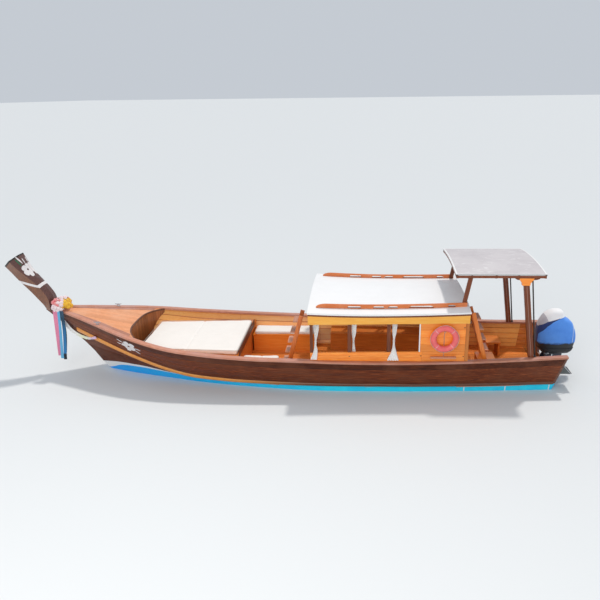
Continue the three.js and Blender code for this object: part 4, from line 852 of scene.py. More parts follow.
# A white band in a V round each side of the head, as (u, s), a flower and leaves
HEAD_BAND = [(-1.4, 2.84), (-1, 2.85), (-.5, 2.9), (0, 2.95), (.33, 3.3), (.66, 3.63), (1, 3.96)]
FLOWER_U, FLOWER_S, FLOWER_WIDE, FLOWER_LONG = -.93, 4.2, .74, .6
for side, sign in SIDES:
    band = Build()
    for (u0, s0), (u1, s1) in zip(HEAD_BAND, HEAD_BAND[1:]):
        base = band.add(head_point(s, u, sign, .0015) for s, u in (
            (s0 - .16, u0), (s0 + .13, u0), (s1 + .13, u1), (s1 - .16, u1)))
        band.face(base, base + 1, base + 2, base + 3)
    band.done(f"head_band_{side}", DECAL, "varnish")

    def on_head(shapes):
        """Shapes of unit size laid on the head, cut where its aft edge turns; each is a fan round its middle."""
        out = []
        for shape in shapes:
            ring = [(FLOWER_U + x * FLOWER_WIDE, FLOWER_S + y * FLOWER_LONG) for x, y in shape[1:]]
            for keep in (1, -1):
                part = []
                for (u, s), (v, t) in zip(ring, ring[1:] + ring[:1]):
                    if (u + 1) * keep >= 0:
                        part.append((max(u, -1.39), s))
                    if (u + 1) * (v + 1) < 0:
                        part.append((-1.0, s + (t - s) * (u + 1) / (u - v)))
                if len(part) > 2:
                    middle = tuple(sum(p[k] for p in part) / len(part) for k in (0, 1))
                    out.append([head_point(s, u + .0001 * keep, sign, .002) for u, s in [middle] + part])
        return out
    decal(f"head_flower_{side}", on_head(petals(.9)))
    decal(f"head_leaves_{side}", on_head([leaf(.1, 1.1, 1.45, 1.9, .09), leaf(-.28, .95, 1.55, 1.1, .09)]))
    decal(f"head_leaf_dark_{side}", on_head([leaf(.42, .95, 1.5, 1.7, .11)]), DECAL_GREEN)


def skin_y(x, z, proud):
    """Half-breadth of the skin at x and z, moved outwards a little."""
    s0 = min((abs(section(FIRST_X + i * .05, .7).x - x), FIRST_X + i * .05) for i in range(90))[1]
    miss, station, t = min(((p.x - x) ** 2 + (p.z - z) ** 2, s0 + ds, t) for ds in np.linspace(-.3, .3, 25)
                           for t in np.linspace(.02, 1.9, 60) for p in [section(s0 + ds, t)])
    return (section(station, t) + normal_at(station, t) * proud).y


# The flower and leaves on each side of the bow
grid_x, grid_z = np.linspace(-4.0, -3.2, 9), np.linspace(.55, 1.17, 8)
table = [[skin_y(x, z, .004) for z in grid_z] for x in grid_x]
SPRAYS = [leaf(-.75, .55, 2.5, 1.05, .10), leaf(-.95, .1, 2.9, .9, .09), leaf(.75, -.6, -.75, 1.05, .10),
          leaf(.95, -.15, -.35, .9, .09)]
for side, sign in SIDES:
    def on_hull(x, z):
        i = min(max((x - grid_x[0]) / (grid_x[1] - grid_x[0]), 0), 7.999)
        j = min(max((z - grid_z[0]) / (grid_z[1] - grid_z[0]), 0), 6.999)
        a, b = int(i), int(j)
        y = between(*(between(table[a][k], table[a + 1][k], i % 1) for k in (b, b + 1)), j % 1)
        return Vector((x, sign * (y + .001), z))
    for name, shapes, wide, high in (("flower", petals(.6), .19, .16), ("leaves", SPRAYS, .17, .15)):
        decal(f"hull_{name}_{side}", [[on_hull(-3.64 + x * wide, .93 + z * high) for x, z in shape]
                                      for shape in shapes])


# Cushions: crowned forms from an outline, swollen by a short cloth run, then piped along their seams
def resample(outline, step=.03):
    """A closed outline's points at an even spacing, its corners cut round a little."""
    points = [Vector(p) for p in outline]
    for cut in (.035, .010):
        points = [q for a, b in zip(points, points[1:] + points[:1])
                  for q in (a.lerp(b, min(cut / (b - a).length, .3)), b.lerp(a, min(cut / (b - a).length, .3)))]
    lengths = [(a - b).length for a, b in zip(points, points[1:] + points[:1])]
    count = max(int(sum(lengths) / step), 12)
    out, walked, i = [], 0.0, 0
    for k in range(count):
        want = sum(lengths) * k / count
        while walked + lengths[i] < want:
            walked += lengths[i]
            i += 1
        out.append(points[i].lerp(points[(i + 1) % len(points)], (want - walked) / max(lengths[i], 1e-6)))
    return out


def coordinates(mesh):
    flat = np.empty(len(mesh.vertices) * 3)
    mesh.vertices.foreach_get("co", flat)
    return flat.reshape(-1, 3)


def apply(obj):
    """Keeps what the modifiers make of the mesh and takes them off."""
    mesh = bpy.data.meshes.new_from_object(obj.evaluated_get(bpy.context.evaluated_depsgraph_get()))
    old = obj.data
    obj.modifiers.clear()
    obj.data = mesh
    bpy.data.meshes.remove(old)


def inflate(obj, cap, frames=20):
    """A short cloth run under pressure; no point moves further than the cap."""
    before = coordinates(obj.data)
    cloth = obj.modifiers.new("cloth", "CLOTH")
    cloth.settings.use_pressure = True
    cloth.settings.uniform_pressure_force = 4
    cloth.settings.effector_weights.gravity = 0
    cloth.settings.quality = 5
    cloth.point_cache.frame_start, cloth.point_cache.frame_end = 1, frames
    for f in range(1, frames + 1):
        scene.frame_set(f)
    apply(obj)
    move = coordinates(obj.data) - before
    move *= np.minimum(1, cap / np.maximum(np.linalg.norm(move, axis=1, keepdims=True), 1e-9))
    obj.data.vertices.foreach_set("co", (before + move).ravel())
    scene.frame_set(1)


def cushion(name, outline, low, high, node, channels, voxel, cap=.016):
    """A boxed cushion that stands on its flat underside. channels are sewn lines, as (x0, y0, x1, y1)."""
    points = [Vector(p) for p in outline]
    middle = sum(points, Vector((0, 0))) / len(points)
    build = Build()
    base = [p + (middle - p).normalized() * .012 for p in resample(outline)]
    levels = ((low, 0), (low + (high - low) * .5, -.003), (high - .012, .002), (high - .004, .012))
    inward = [(middle - p).normalized() for p in base]
    build.loft([[(p.x + u.x * d, p.y + u.y * d, z) for p, u in zip(base, inward)] for z, d in levels])
    obj = build.done(name, CREAM, "cushion_fabric", node, smooth=60)
    remesh = obj.modifiers.new("remesh", "REMESH")
    remesh.mode = "VOXEL"
    remesh.voxel_size = voxel
    apply(obj)
    inflate(obj, cap)
    places = coordinates(obj.data)
    for x0, y0, x1, y1 in channels:
        dx, dy = x1 - x0, y1 - y0
        length = math.hypot(dx, dy)
        along = ((places[:, 0] - x0) * dx + (places[:, 1] - y0) * dy) / length
        off = ((places[:, 0] - x0) * dy - (places[:, 1] - y0) * dx) / length
        on = (along > -.02) & (along < length + .02) & (places[:, 2] > (low + high) / 2)
        places[:, 2] -= np.where(on, .016 * np.exp(-(off / .022) ** 2), 0)
    places[:, 2] = np.clip(places[:, 2], low, high + .012)
    obj.data.vertices.foreach_set("co", places.ravel())
    sub = obj.modifiers.new("subdivision", "SUBSURF")
    sub.levels = sub.render_levels = 1
    apply(obj)
    shade(obj.data, 60)


# A thin strip of the caps' wood on the foredeck along each cap, widening aft
margin = curve([(-5.3, .02), (-4.7, .09), (-4.2, .13), (-3.6, .14), (-3.4, .14)])
for side, sign in SIDES:
    rings = []
    for x in np.linspace(-5.25, -3.4, 60):
        outer = sheer_y(x) - CAP_WIDTH - .004
        inner = outer - margin(x)
        low, high = [[(v, y, deck_top(v) + lift) for v, y in ((min(x, coaming_x(y) - .022), y)
                                                            for y in (inner, outer))] for lift in (.0006, .0056)]
        rings.append(low + high[::-1])
        if x > coaming_x(inner) - .03:
            break
    build = Build()
    build.loft(rings, tone())
    build.done(f"deck_margin_{side}", CAP, "deck_wood", sign=sign, bevel=.001, segments=1)

# The sun pad, its forward edge straight across and cut by the bulkhead at its ends, and the bench cushions
PAD_TOP, PAD_LOW, PAD_FRONT = .895, .7703, -3.47


def pad_outline(gap, half, corners):
    front = [(max(PAD_FRONT, coaming_x(y)) + gap, y) for y in np.linspace(-half, half, 17)]
    return front + corners + [(x, -y) for x, y in reversed(corners)]


cushion("sun_pad_cushion", pad_outline(.016, .87, [(-1.2, .985), (-1.095, .985)]), PAD_LOW, PAD_TOP - .012,
        "sun_pad", [(-2.32, -.96, -2.32, .96), (-3.42, 0, -1.1, 0)], .022)
# A piping ring round the pad's top, darker than its cloth: painted shade along the edge.
build = Build()
ring = [(*p, PAD_TOP - .018) for p in resample(pad_outline(.026, .86, [(-1.2, .975), (-1.105, .975)]))]
build.tube(ring + ring[:2], .005, 6)
build.done("sun_pad_piping", CREAM_SHADE_LINE, "cushion_fabric", smooth=80)
for side, sign, seam_x in (("starboard", 1, -.05), ("port", -1, -.6)):
    lo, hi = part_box(f"bench_cushion_{side}")
    outline = [(x, sign * y) for x, y in ((lo.x, .71), (hi.x, .71), (hi.x, 1.185), (lo.x, 1.185))]
    cushion(f"bench_pad_{side}", outline, lo.z, hi.z - .008, f"bench_cushion_{side}",
            [(seam_x, sign * .7, seam_x, sign * 1.2)], .018)

# Platform boards, the crosswise boards under them and the brown edge
build = Build()
laid(build, -3.42, -1.08, .125, .004, lambda x: min(breadth(x, .75) - .004, 1.3), .77, .038, .12,
     lambda y: max(-3.42, coaming_x(y) + .002))
for x0, x1 in ((-1.12, -1.09), (-2.3, -2.27)):
    edge = [(min(breadth(x, z) for x in (x0, x1)) - .004, z) for z in np.linspace(SOLE_Z + .001, .728, 9)]
    build.slab([(-y, z) for y, z in edge] + edge[::-1], x0, x1, "yz", tone())
build.block((-1.078, -1.0, .75), (-1.06, 1.0, .887), -.3, 1)
build.done("platform_boards", [ORANGE, VARNISH], "orange_wood", "lounge_platform", bevel=.002)

# Inner boards: the hull's ceiling, seen over the benches and the pad
CEILING_MARKS = [.06, .26, .46, .66, .86, 1.06, 1.26, 1.5]
CEILING_ENDS = [-3.72, -1.5, .6, 2.6, 4.3, 5.75]
for side, sign in SIDES:
    build = Build()
    for t0, t1 in zip(CEILING_MARKS, CEILING_MARKS[1:]):
        corners = ((t0 + .012, .012), (t0 + .012, .001), (t1 - .012, .001), (t1 - .012, .012))
        for x0, x1 in zip(CEILING_ENDS, CEILING_ENDS[1:]):
            build.loft([[section(x, t) - normal_at(x, t) * (PLANK + deep) for t, deep in corners]
                        for x in np.linspace(x0 + .003, x1 - .003, 16)], tone())
    build.done(f"ceiling_boards_{side}", CEILING, "orange_wood", sign=sign, bevel=.002, segments=1)

# Cabin: posts, sill boards with seams, trim and bolts over each side wall, and a fascia with a bead
CABIN_X0, CABIN_X1, CABIN_Y0, CABIN_Y1, WALL = .58, 4.0, 1.425, 1.292, .04
SILL, WINDOW_HEAD, EAVE = 1.045, 1.73, 1.89
AFT_FROM = 2.96  # where the windows end


def cabin_y(x):
    return between(CABIN_Y0, CABIN_Y1, (x - CABIN_X0) / (CABIN_X1 - CABIN_X0))


def eave_z(x):
    return EAVE + (.052 if x < 2.2 else .028) * ((x - 2.2) / 1.7) ** 2


def wall_board(build, x0, x1, low, high, out=0, back=-WALL, pick=0, shade_of=None):
    """A board on the cabin's side between two x, its faces given from the wall's outer face.

    low and high are heights; None means the gunwale cap and the eave."""
    shade_of = tone() if shade_of is None else shade_of
    rings = []
    for x in (x0, (x0 + x1) / 2, x1):
        z0, z1 = sheer_z(x) + .0006 if low is None else low, eave_z(x) - .001 if high is None else high
        a, b = cabin_y(x) + back, cabin_y(x) + out
        rings.append([(x, a, z0), (x, b, z0), (x, b, z1), (x, a, z1)])
    build.loft(rings, shade_of, pick)


for side, sign in SIDES:
    build = Build()
    for z0, z1 in ((None, .905), (.908, .975), (.978, SILL - .028)):
        wall_board(build, CABIN_X0, 3.0, z0, z1)
    wall_board(build, CABIN_X0, 3.0, SILL - .027, SILL, .008, -WALL - .004, 0, .35)
    wall_board(build, CABIN_X0, 2.95, WINDOW_HEAD, None)
    for x0, x1 in ((.58, .65), (1.392, 1.472), (2.24, 2.32)):
        wall_board(build, x0 + .001, x1 - .001, SILL + .001, WINDOW_HEAD - .001, .004, -WALL, 1)
    wall_board(build, 2.932, 2.958, SILL, WINDOW_HEAD, .005, -WALL - .004, 2)
    rows = [None, .905, .975, SILL, 1.21, 1.38, 1.55, None]
    for z0, z1 in zip(rows, rows[1:]):
        low, high = z0 and z0 + .0015, z1 and z1 - .0015
        wall_board(build, 3.002 if z0 is None or z0 < SILL else AFT_FROM, 3.925, low, high)
    wall_board(build, 3.927, 4.0, None, None, .006, -WALL, 3)
    build.done(f"cabin_boards_{side}", [ORANGE_PAINTED_SUN, POST_WOOD, WHITE, ORANGE_UP], "orange_wood",
               f"cabin_side_{side}", sign=sign, bevel=.002)
    bolts = Build()
    for x, z in ((1.43, .95), (2.98, .95), (.62, .93), (2.28, .93), (3.9, .93), (3.9, 1.6)):
        bolts.lathe([(.001, 0), (.011, 0), (.011, .003), (.006, .008), (.001, .009)],
                    (x, cabin_y(x) + .0005, z), (0, 1, 0), 12)
    bolts.done(f"cabin_bolts_{side}", BLACK, "steel", sign=sign, smooth=40)

    build = Build()
    places = [(x, cabin_y(x), eave_z(x) - .0004) for x in (.55 + (4.0 - .55) * i / 24 for i in range(25))]
    build.loft([[(x, y + .001, 1.7), (x, y + .023, 1.7), (x, y + .027, 1.712), (x, y + .027, 1.725),
                 (x, y + .023, 1.732), (x, y + .023, top - .04), (x, y + .001, top - .04)]
                for x, y, top in places])
    build.strip(places, ((.001, -.039), (.028, -.039), (.033, -.025), (.033, -.012), (.026, -.002), (.001, -.002)),
                0, 1)
    build.done(f"fascia_board_{side}", [GOLD, POST_WOOD], "gold_wood", f"fascia_{side}", sign=sign,
               smooth=30)

# Roof: a white strip along each side, and rails with arched openings
ROOF_THICK, ROOF_CAMBER = .038, .095
ROOF_RAIL_X0, ROOF_RAIL_X1, ROOF_RAIL_IN, ROOF_RAIL_HIGH, ROOF_RAIL_ROUND = .71, 3.96, .22, .094, .95
RAIL_OPENINGS = [(1.37, 1.70), (1.93, 2.19), (2.25, 2.48), (2.70, 3.25), (3.54, 3.72)]


def roof_z(x, t):
    return eave_z(x) + ROOF_CAMBER * (1 - t * t)


def rail_at(x):
    return cabin_y(x) - ROOF_RAIL_IN, roof_z(x, 1 - ROOF_RAIL_IN / 1.4) + ROOF_THICK + .009


build = Build()
for s in (-1, 1):
    path = [(x, s * (cabin_y(x) + .045), roof_z(x, 1)) for x in (between(.533, 4.017, i / 24) for i in range(25))]
    build.strip(path, [(s * y, z) for y, z in ((-.012, .028), (.004, .028), (.006, .035), (.002, .0415),
                                               (-.012, .0415))])
build.done("roof_edge_trim", WHITE, "roof_paint", smooth=40)

for side, sign in SIDES:
    build = Build()
    rings = []
    ends = {x for pair in RAIL_OPENINGS for x in pair}
    for x in sorted(ends | set(np.linspace(ROOF_RAIL_X0, ROOF_RAIL_X1, 66))):
        y, base = rail_at(x)
        low, top = base, base + ROOF_RAIL_HIGH
        if x < ROOF_RAIL_ROUND:
            top = base + ROOF_RAIL_HIGH * math.sqrt(max(1 - ((ROOF_RAIL_ROUND - x) / .25) ** 2, .08))
        for x0, x1 in RAIL_OPENINGS:
            if x0 < x < x1:
                low = base + .018 + .036 * min(1, 3.2 * math.sin(math.pi * (x - x0) / (x1 - x0)))
        rings.append([(x, y - .027, low), (x, y, low), (x, y, top - .004), (x, y - .004, top), (x, y - .023, top),
                      (x, y - .027, top - .004)])
    build.loft(rings)
    for x0, x1 in RAIL_OPENINGS:
        y, base = rail_at((x0 + x1) / 2)
        build.block((x0, y - .027, base - .002), (x1, y, base + .010))
        # A dark brown block low in each opening: painted shadow, so the openings read dark.
        build.block((x0 + .012, y - .020, base + .0095), (x1 - .012, y - .006, base + .026), -.5, 1)
    build.done(f"roof_rail_board_{side}", [TERRACOTTA, POST_WOOD], "orange_wood",
               f"roof_rail_{side}", sign=sign, smooth=30)

build = Build()
build.block((.602, -1.335, EAVE - .15), (.638, 1.335, EAVE - .08), tone())
build.done("cabin_front_beam", ORANGE_UP, "orange_wood", bevel=.003)


# Curtains: gathered panels, tied at the posts
def drape(build, rings, folds, depth, seed, thick=.0016, steps=40):
    """A folded panel through rings of (z, x0, x1, y, depth's share), gathered in folds across its width."""
    rings = sorted(rings)
    curves = [curve(rings, k) for k in (1, 2, 3, 4)]
    rows = []
    for i in range(steps + 1):
        z = between(rings[-1][0], rings[0][0], i / steps)
        x0, x1, y, share = (c(z) for c in curves)
        row = []
        for u in (j / 48 for j in range(49)):
            fold = math.sin(2 * math.pi * folds * u + seed + .5 * math.sin(3 * z)) * share * depth
            fold += .35 * depth * share * math.sin(2 * math.pi * folds * 2.1 * u + 2 * seed)
            row.append((between(x0, x1, u), y + fold, z))
        rows.append(row)
    build.shell(rows, [[(x, y - thick, z) for x, y, z in row] for row in rows])


def cut_size(obj, length):
    """The cloth's width and length before it was hung, from its length and its area."""
    return round(sum(p.area for p in obj.data.polygons) / 2 / length, 3), length


# Columns: x, whether it hangs on outside, its foot's height, then the foot's forward and aft edges.
CURTAINS = [(.702, True, .888, -.118, .026), (1.52, False, .965, -.042, .056), (2.39, True, .853, -.143, .114)]
CURTAIN_TOP, ROD_Z, ROD_IN = 1.716, 1.722, .05
for side, sign in SIDES:
    rod = Build()
    rod.tube([(x, cabin_y(x) - WALL - ROD_IN, ROD_Z) for x in (.641, 1.8, 2.935)], .007)
    rod.done(f"curtain_rod_{side}", STEEL, "steel", sign=sign)
    for k, (x, outside, foot, fore, aft) in enumerate(CURTAINS):
        wall = cabin_y(x)
        if outside:
            rings = [(CURTAIN_TOP, -.036, .08, -.088, 1), (1.45, -.03, .052, -.066, .8),
                     (1.335, -.018, .022, -.022, .45), (1.24, -.022, .02, .008, .5), (1.12, -.038, .042, .021, .8),
                     (foot, fore, aft, .022, 1)]
            folds, depth, seed = 5, .010, k + (0 if sign > 0 else 2)
        else:
            rings = [(CURTAIN_TOP, -.036, .07, -.088, 1), (1.42, -.034, .046, -.09, .7),
                     (1.30, -.018, .018, -.09, .5), (foot, fore, aft, -.088, 1)]
            folds, depth, seed = 4, .011, k + 1.3
        build = Build()
        drape(build, [(z, x + a, x + b, wall + y, share) for z, a, b, y, share in rings], folds, depth, seed)
        piece = build.done(f"curtain_{k + 1}_{side}", CLOTH, "curtain_cloth", sign=sign, smooth=60)
        if k == 0:
            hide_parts(f"curtains_{side}")
        tie = Build()
        yt, r = (wall - .012, .030) if outside else (wall - .09, .026)
        tie.tube([(x + r * math.cos(a), yt + r * .8 * math.sin(a), 1.30 + .012 * math.sin(a))
                  for a in np.linspace(0, 2 * math.pi, 17)], .005, 6)
        tie.done(f"curtain_tie_{k + 1}_{side}", CLOTH, "curtain_cloth", sign=sign)

# Ladders: rounded stringers and boards. Columns: foot x, z, head x, z, y, width, a tread's edges, count, wood.
LADDERS = {"forward_ladder": (-.07, SOLE_Z, .365, 1.74, -.83, .38, -.15, .03, 6, LADDER_WOOD),
           "aft_ladder": (4.42, .74, 4.105, 1.85, -.86, .4, -.03, .135, 4, STRINGER_WOOD)}
STRINGER = chamfered(.016, .0475, .8, .9)
for name, (x0, z0, x1, z1, y, wide, fore, aft, treads, stringer) in LADDERS.items():
    build = Build()
    along = Vector((x1 - x0, 0, z1 - z0)).normalized()
    across = Vector((along.z, 0, -along.x))
    for s in (-1, 1):
        rings = []
        for t in np.linspace(0, 1, 12):
            c = Vector((between(x0, x1, t), y + s * wide / 2, between(z0, z1, t) + .0005))
            rings.append([c + Vector((0, a, 0)) + across * b for a, b in STRINGER])
        for p in rings[0]:
            p += along * ((z0 + .0005 - p.z) / along.z)
        build.loft(rings, tone())
    for i in range(treads):
        t = (i + 1) / (treads + .6)
        x, z = between(x0, x1, t), between(z0, z1, t)
        half = wide / 2 - .0165
        build.block((x + fore, y - half, z - .014), (x + aft, y + half, z + .014), tone(), 1)
    build.done(f"{name}_boards", [stringer, TREAD_WOOD], "orange_wood", name, bevel=.003)

# Step box with a lid that stands proud
lo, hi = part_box("step_box")
build = Build()
for low, high, back, trim, shade_of in ((lo.z, hi.z - .026, .008, .012, .1), (hi.z - .024, hi.z, 0, .003, .4)):
    edge = [(-min(breadth(x, z) for x in (lo.x, hi.x)) + trim, z) for z in np.linspace(low, high, 7)]
    build.slab(edge + [(hi.y - back, high), (hi.y - back, low)], lo.x + back, hi.x - back, "yz", shade_of)
build.done("step_box_boards", ORANGE_PAINTED_SUN, "orange_wood", "step_box", bevel=.004)

# Life ring: a ring shell with seams, four pale bands and a grab line
RING_X, RING_Z, RING_R, RING_TUBE = 3.47, 1.375, .238, .062
ring_turn = math.atan2(CABIN_Y0 - CABIN_Y1, CABIN_X1 - CABIN_X0)
ring_at = Vector((RING_X, -(cabin_y(RING_X) + RING_TUBE + .009), RING_Z))
ring_u = Vector((math.cos(ring_turn), math.sin(ring_turn), 0))
ring_w = Vector((-math.sin(ring_turn), math.cos(ring_turn), 0))


def ring_point(a, b, r):
    """a runs round the ring, b round its tube."""
    reach = RING_R + r * math.cos(b)
    up = Vector((0, 0, reach * math.sin(a)))
    return ring_at + ring_u * (reach * math.cos(a)) + up + ring_w * (r * math.sin(b))


build = Build()
rows = []
for a in turns(96):
    r = RING_TUBE * (1 - .012 * math.exp(-((a % (math.pi / 2) - math.pi / 4) / .02) ** 2))
    r *= 1 + .006 * math.sin(5 * a)
    rows.append([ring_point(a, b, min(r, RING_TUBE)) for b in turns(24)])
build.grid(rows + rows[:1], closed=True)
weld(build.done("life_ring_shell", RING, "ring_plastic", "life_ring", smooth=60), .0001)
bands, line = Build(), Build()
for a0 in (math.pi / 4 + k * math.pi / 2 for k in range(4)):
    bands.grid([[ring_point(a0 + d, 2 * math.pi * j / 24, RING_TUBE + .0012) for j in range(25)]
                for d in (-.035, -.012, .012, .035)])
    path = []
    for u in (i / 12 for i in range(13)):
        sag = math.sin(math.pi * u)
        path.append(ring_point(a0 + .05 + (math.pi / 2 - .10) * u, -.35 * (1 - sag) - .15,
                               RING_TUBE + .006 + .004 * sag))
    line.tube(path, .0045, 8)
bands.done("ring_bands", RING_PALE, "ring_plastic", smooth=60)
line.done("ring_grab_line", ROPE, "curtain_cloth", smooth=60)

# Canopy: a thin sheet with a white edge, brown boards under it
CANOPY_X0, CANOPY_X1, CANOPY_HALF, CANOPY_LOW, CANOPY_THICK, CANOPY_CAMBER = 3.68, 5.575, 1.11, 2.64, .09, .07
SHEET_UNDER = CANOPY_THICK - .018


def canopy_z(y):
    """The canopy's lower face, with the CAD's flat facets."""
    t = abs(y) / CANOPY_HALF
    k = min(int(t / .2), 4)
    a, b = (1 - (j * .2) ** 2 for j in (k, k + 1))
    return CANOPY_LOW + CANOPY_CAMBER * between(a, b, (t - k * .2) / .2)


def arch(low, high):
    """A crosswise outline between two heights over the canopy's lower face."""
    ys = [-CANOPY_HALF + 2 * CANOPY_HALF * i / 44 for i in range(45)]
    return [(y, canopy_z(y) + high) for y in ys] + [(y, canopy_z(y) + low) for y in reversed(ys)]


build = Build()
build.slab(arch(CANOPY_THICK - .017, CANOPY_THICK - .001), CANOPY_X0 + .02, CANOPY_X1 - .02, "yz")
for s in (-1, 1):
    y0, y1 = sorted((s * (CANOPY_HALF - .03), s * CANOPY_HALF))
    z = canopy_z(CANOPY_HALF - .015) + CANOPY_THICK
    build.block((CANOPY_X0, y0, z - .028), (CANOPY_X1, y1, z - .0005), 0, 1)
for x0, x1 in ((CANOPY_X0, CANOPY_X0 + .03), (CANOPY_X1 - .03, CANOPY_X1)):
    build.slab(arch(CANOPY_THICK - .028, CANOPY_THICK - .0005), x0, x1, "yz", 0, 1)
for x0 in (CANOPY_X0 + .008, 3.99, 4.5, 4.97, CANOPY_X1 - .053):
    build.slab(arch(SHEET_UNDER, .001), x0, x0 + .045, "yz", tone(), 2)
for s in (-1, 1):
    y0, y1 = sorted((s * (CANOPY_HALF - .045), s * (CANOPY_HALF - .001)))
    build.block((CANOPY_X0 + .008, y0, CANOPY_LOW + .0065),
                (CANOPY_X1 - .008, y1, CANOPY_LOW + CANOPY_THICK - .028), tone(), 2)
for y in (-.74, -.37, 0, .37, .74):
    z = canopy_z(y) + SHEET_UNDER
    build.block((CANOPY_X0 + .06, y - .03, z - .03), (CANOPY_X1 - .06, y + .03, z), tone(), 2)
build.done("canopy_boards", [CANOPY_TOP, WHITE, POST_WOOD], "roof_paint", "canopy_roof", bevel=.002)

# Canopy posts with scalloped corbels, and the poles behind them
POST_FOOT, POST_HEAD, POST_Y, POST_TOP, POST_LEAN_TO = 5.41, 5.14, 1.07, 2.482, 2.7
POST_W, POST_H, POST_C = .0605, .0435, .008
# Half the post's section, as shares of its half-sizes: chamfered corners and a groove in the middle
POST_SIDE = [(-1, -1 + POST_C / POST_H), (-1 + POST_C / POST_W, -1), (-.14, -1), (-.1, -.93)]
POST_SIDE += [(-a, b) for a, b in reversed(POST_SIDE)]
POST_SECTION = POST_SIDE + [(-a, -b) for a, b in POST_SIDE]
HEART_HALF = [(-.135, 2.6435), (-.125, 2.602), (-.098, 2.585), (-.088, 2.555), (-.066, 2.535), (-.062, 2.483)]
HEART = HEART_HALF + [(.04 - x, z) for x, z in reversed(HEART_HALF)]
for side, sign in SIDES:
    build = Build()
    foot = sheer_z(POST_FOOT) + .0008
    rings = []
    for t in np.linspace(0, 1, 16):
        z = between(foot, POST_TOP, t)
        x = between(POST_FOOT, POST_HEAD, (z - foot) / (POST_LEAN_TO - foot))
        rings.append([(x + POST_W * a, POST_Y + POST_H * b, z) for a, b in POST_SECTION])
    build.loft(rings, 0, lambda i, j: int(j in (3, 11)))
    build.slab([(POST_HEAD + x, z) for x, z in HEART], POST_Y - .0525, POST_Y + .0395, "xz", .4, 2)
    for x0, x1 in ((POST_HEAD - .215, POST_HEAD - .134), (POST_HEAD + .294, POST_HEAD + .174)):
        build.slab([(x0, 2.632), ((x0 + x1) / 2, 2.612), (x1, 2.605), (x1, 2.643), (x0, 2.643)],
                   POST_Y - .039, POST_Y + .0385)
    build.done(f"canopy_post_wood_{side}", [POST_WOOD, POST_LINE, ORANGE_PAINTED_SUN], "varnish",
               f"canopy_post_{side}", sign=sign, bevel=.0015, segments=1)
    pole = Build()
    path = [(5.515 - .225 * (z - .7) / 1.94, POST_Y, z) for z in np.linspace(sheer_z(5.5) + .001, 2.606, 8)]
    pole.tube(path, .0155, 18)
    pole.lathe([(.001, 0), (.034, 0), (.034, .005), (.021, .012), (.018, .03)], path[0], (0, 0, 1), 20)
    pole.done(f"stern_pole_tube_{side}", DARK_METAL, "steel", f"stern_pole_{side}", sign=sign,
              smooth=50)

# Struts from the cabin's roof to the canopy, and a crosswise board over them
STRUT_Y, STRUT_LOW, STRUT_HIGH = 1.01, (3.865, 1.85), (4.03, 2.74)
STRUT = chamfered(.045, .03, .93, .8)
build = Build()
for s in (-1, 1):
    p0, p1 = (Vector((x, s * STRUT_Y, z)) for x, z in (STRUT_LOW, STRUT_HIGH))
    along = (p1 - p0).normalized()
    across = Vector((along.z, 0, -along.x))
    foot = roof_z(3.9, STRUT_Y / 1.36) + ROOF_THICK + .0015
    rings = []
    for t in np.linspace(0, 1, 10):
        p = p0.lerp(p1, (between(foot, CANOPY_LOW, t) - p0.z) / (p1.z - p0.z))
        rings.append([p + across * a + Vector((0, b, 0)) for a, b in STRUT])
    for ring, z in ((rings[0], foot), (rings[-1], CANOPY_LOW)):
        for q in ring:
            q.z = z
    build.loft(rings, tone())
cross = [(-.978, 2.562), (.978, 2.562)] + [(y, canopy_z(y) - .001) for y in np.linspace(.978, -.978, 23)]
build.slab(cross, 3.972, 4.058, "yz", tone())
build.done("strut_planks", POST_WOOD, "varnish", "canopy_struts", bevel=.004)

# Swim steps: a tread plate with ribs, brackets and stays
STEP_Y, STEP_HALF, STEP_Z, STEP_LONG, STAY_Z = .8, .21, .372, .32, .62
STEP_Y0, STEP_Y1 = STEP_Y - STEP_HALF, STEP_Y + STEP_HALF
for side, sign in SIDES:
    z, x0 = STEP_Z, transom_x(STEP_Z) + .05 + .0105
    x1 = x0 + STEP_LONG
    build = Build()
    build.block((x0 + .012, STEP_Y0 + .012, z - .010), (x1 - .012, STEP_Y1 - .012, z + .006), 0, 2)
    for y in (STEP_Y0 + .022 + k * .0458 for k in range(9)):
        build.block((x0 + .02, y, z + .0055), (x1 - .02, y + .022, z + .0125), 0, 2)
    for y in (STEP_Y0, STEP_Y1 - .016):
        build.block((x0, y, z - .0148), (x1, y + .016, z + .0148))
    for x in (x0, x1 - .016):
        build.block((x, STEP_Y0 + .0155, z - .0148), (x + .016, STEP_Y1 - .0155, z + .0148))
    for y in (STEP_Y0 + .025, STEP_Y1 - .025):
        stay = (transom_x(STAY_Z) + .0508, y, STAY_Z)
        build.tube([stay, (x1 - .04, y, z + .008)], .009, 12, 0, 1)
        build.lathe([(.001, 0), (.024, 0), (.024, .004), (.012, .009)], stay, (.958, 0, -.287), 16, 0, 1)
        xb = transom_x(z - .03) + .051
        build.slab([(xb, z - .06), (xb + .012, z - .06), (x0 + .06, z - .02), (x0 + .06, z - .014),
                    (xb + .008, z - .014)], y - .014, y + .014, "xz", 0, 1)
    build.done(f"stern_step_plate_{side}", [WHITE, STEEL, TREAD_GREY], "white_metal",
               f"stern_step_{side}", sign=sign, bevel=.002, segments=1)

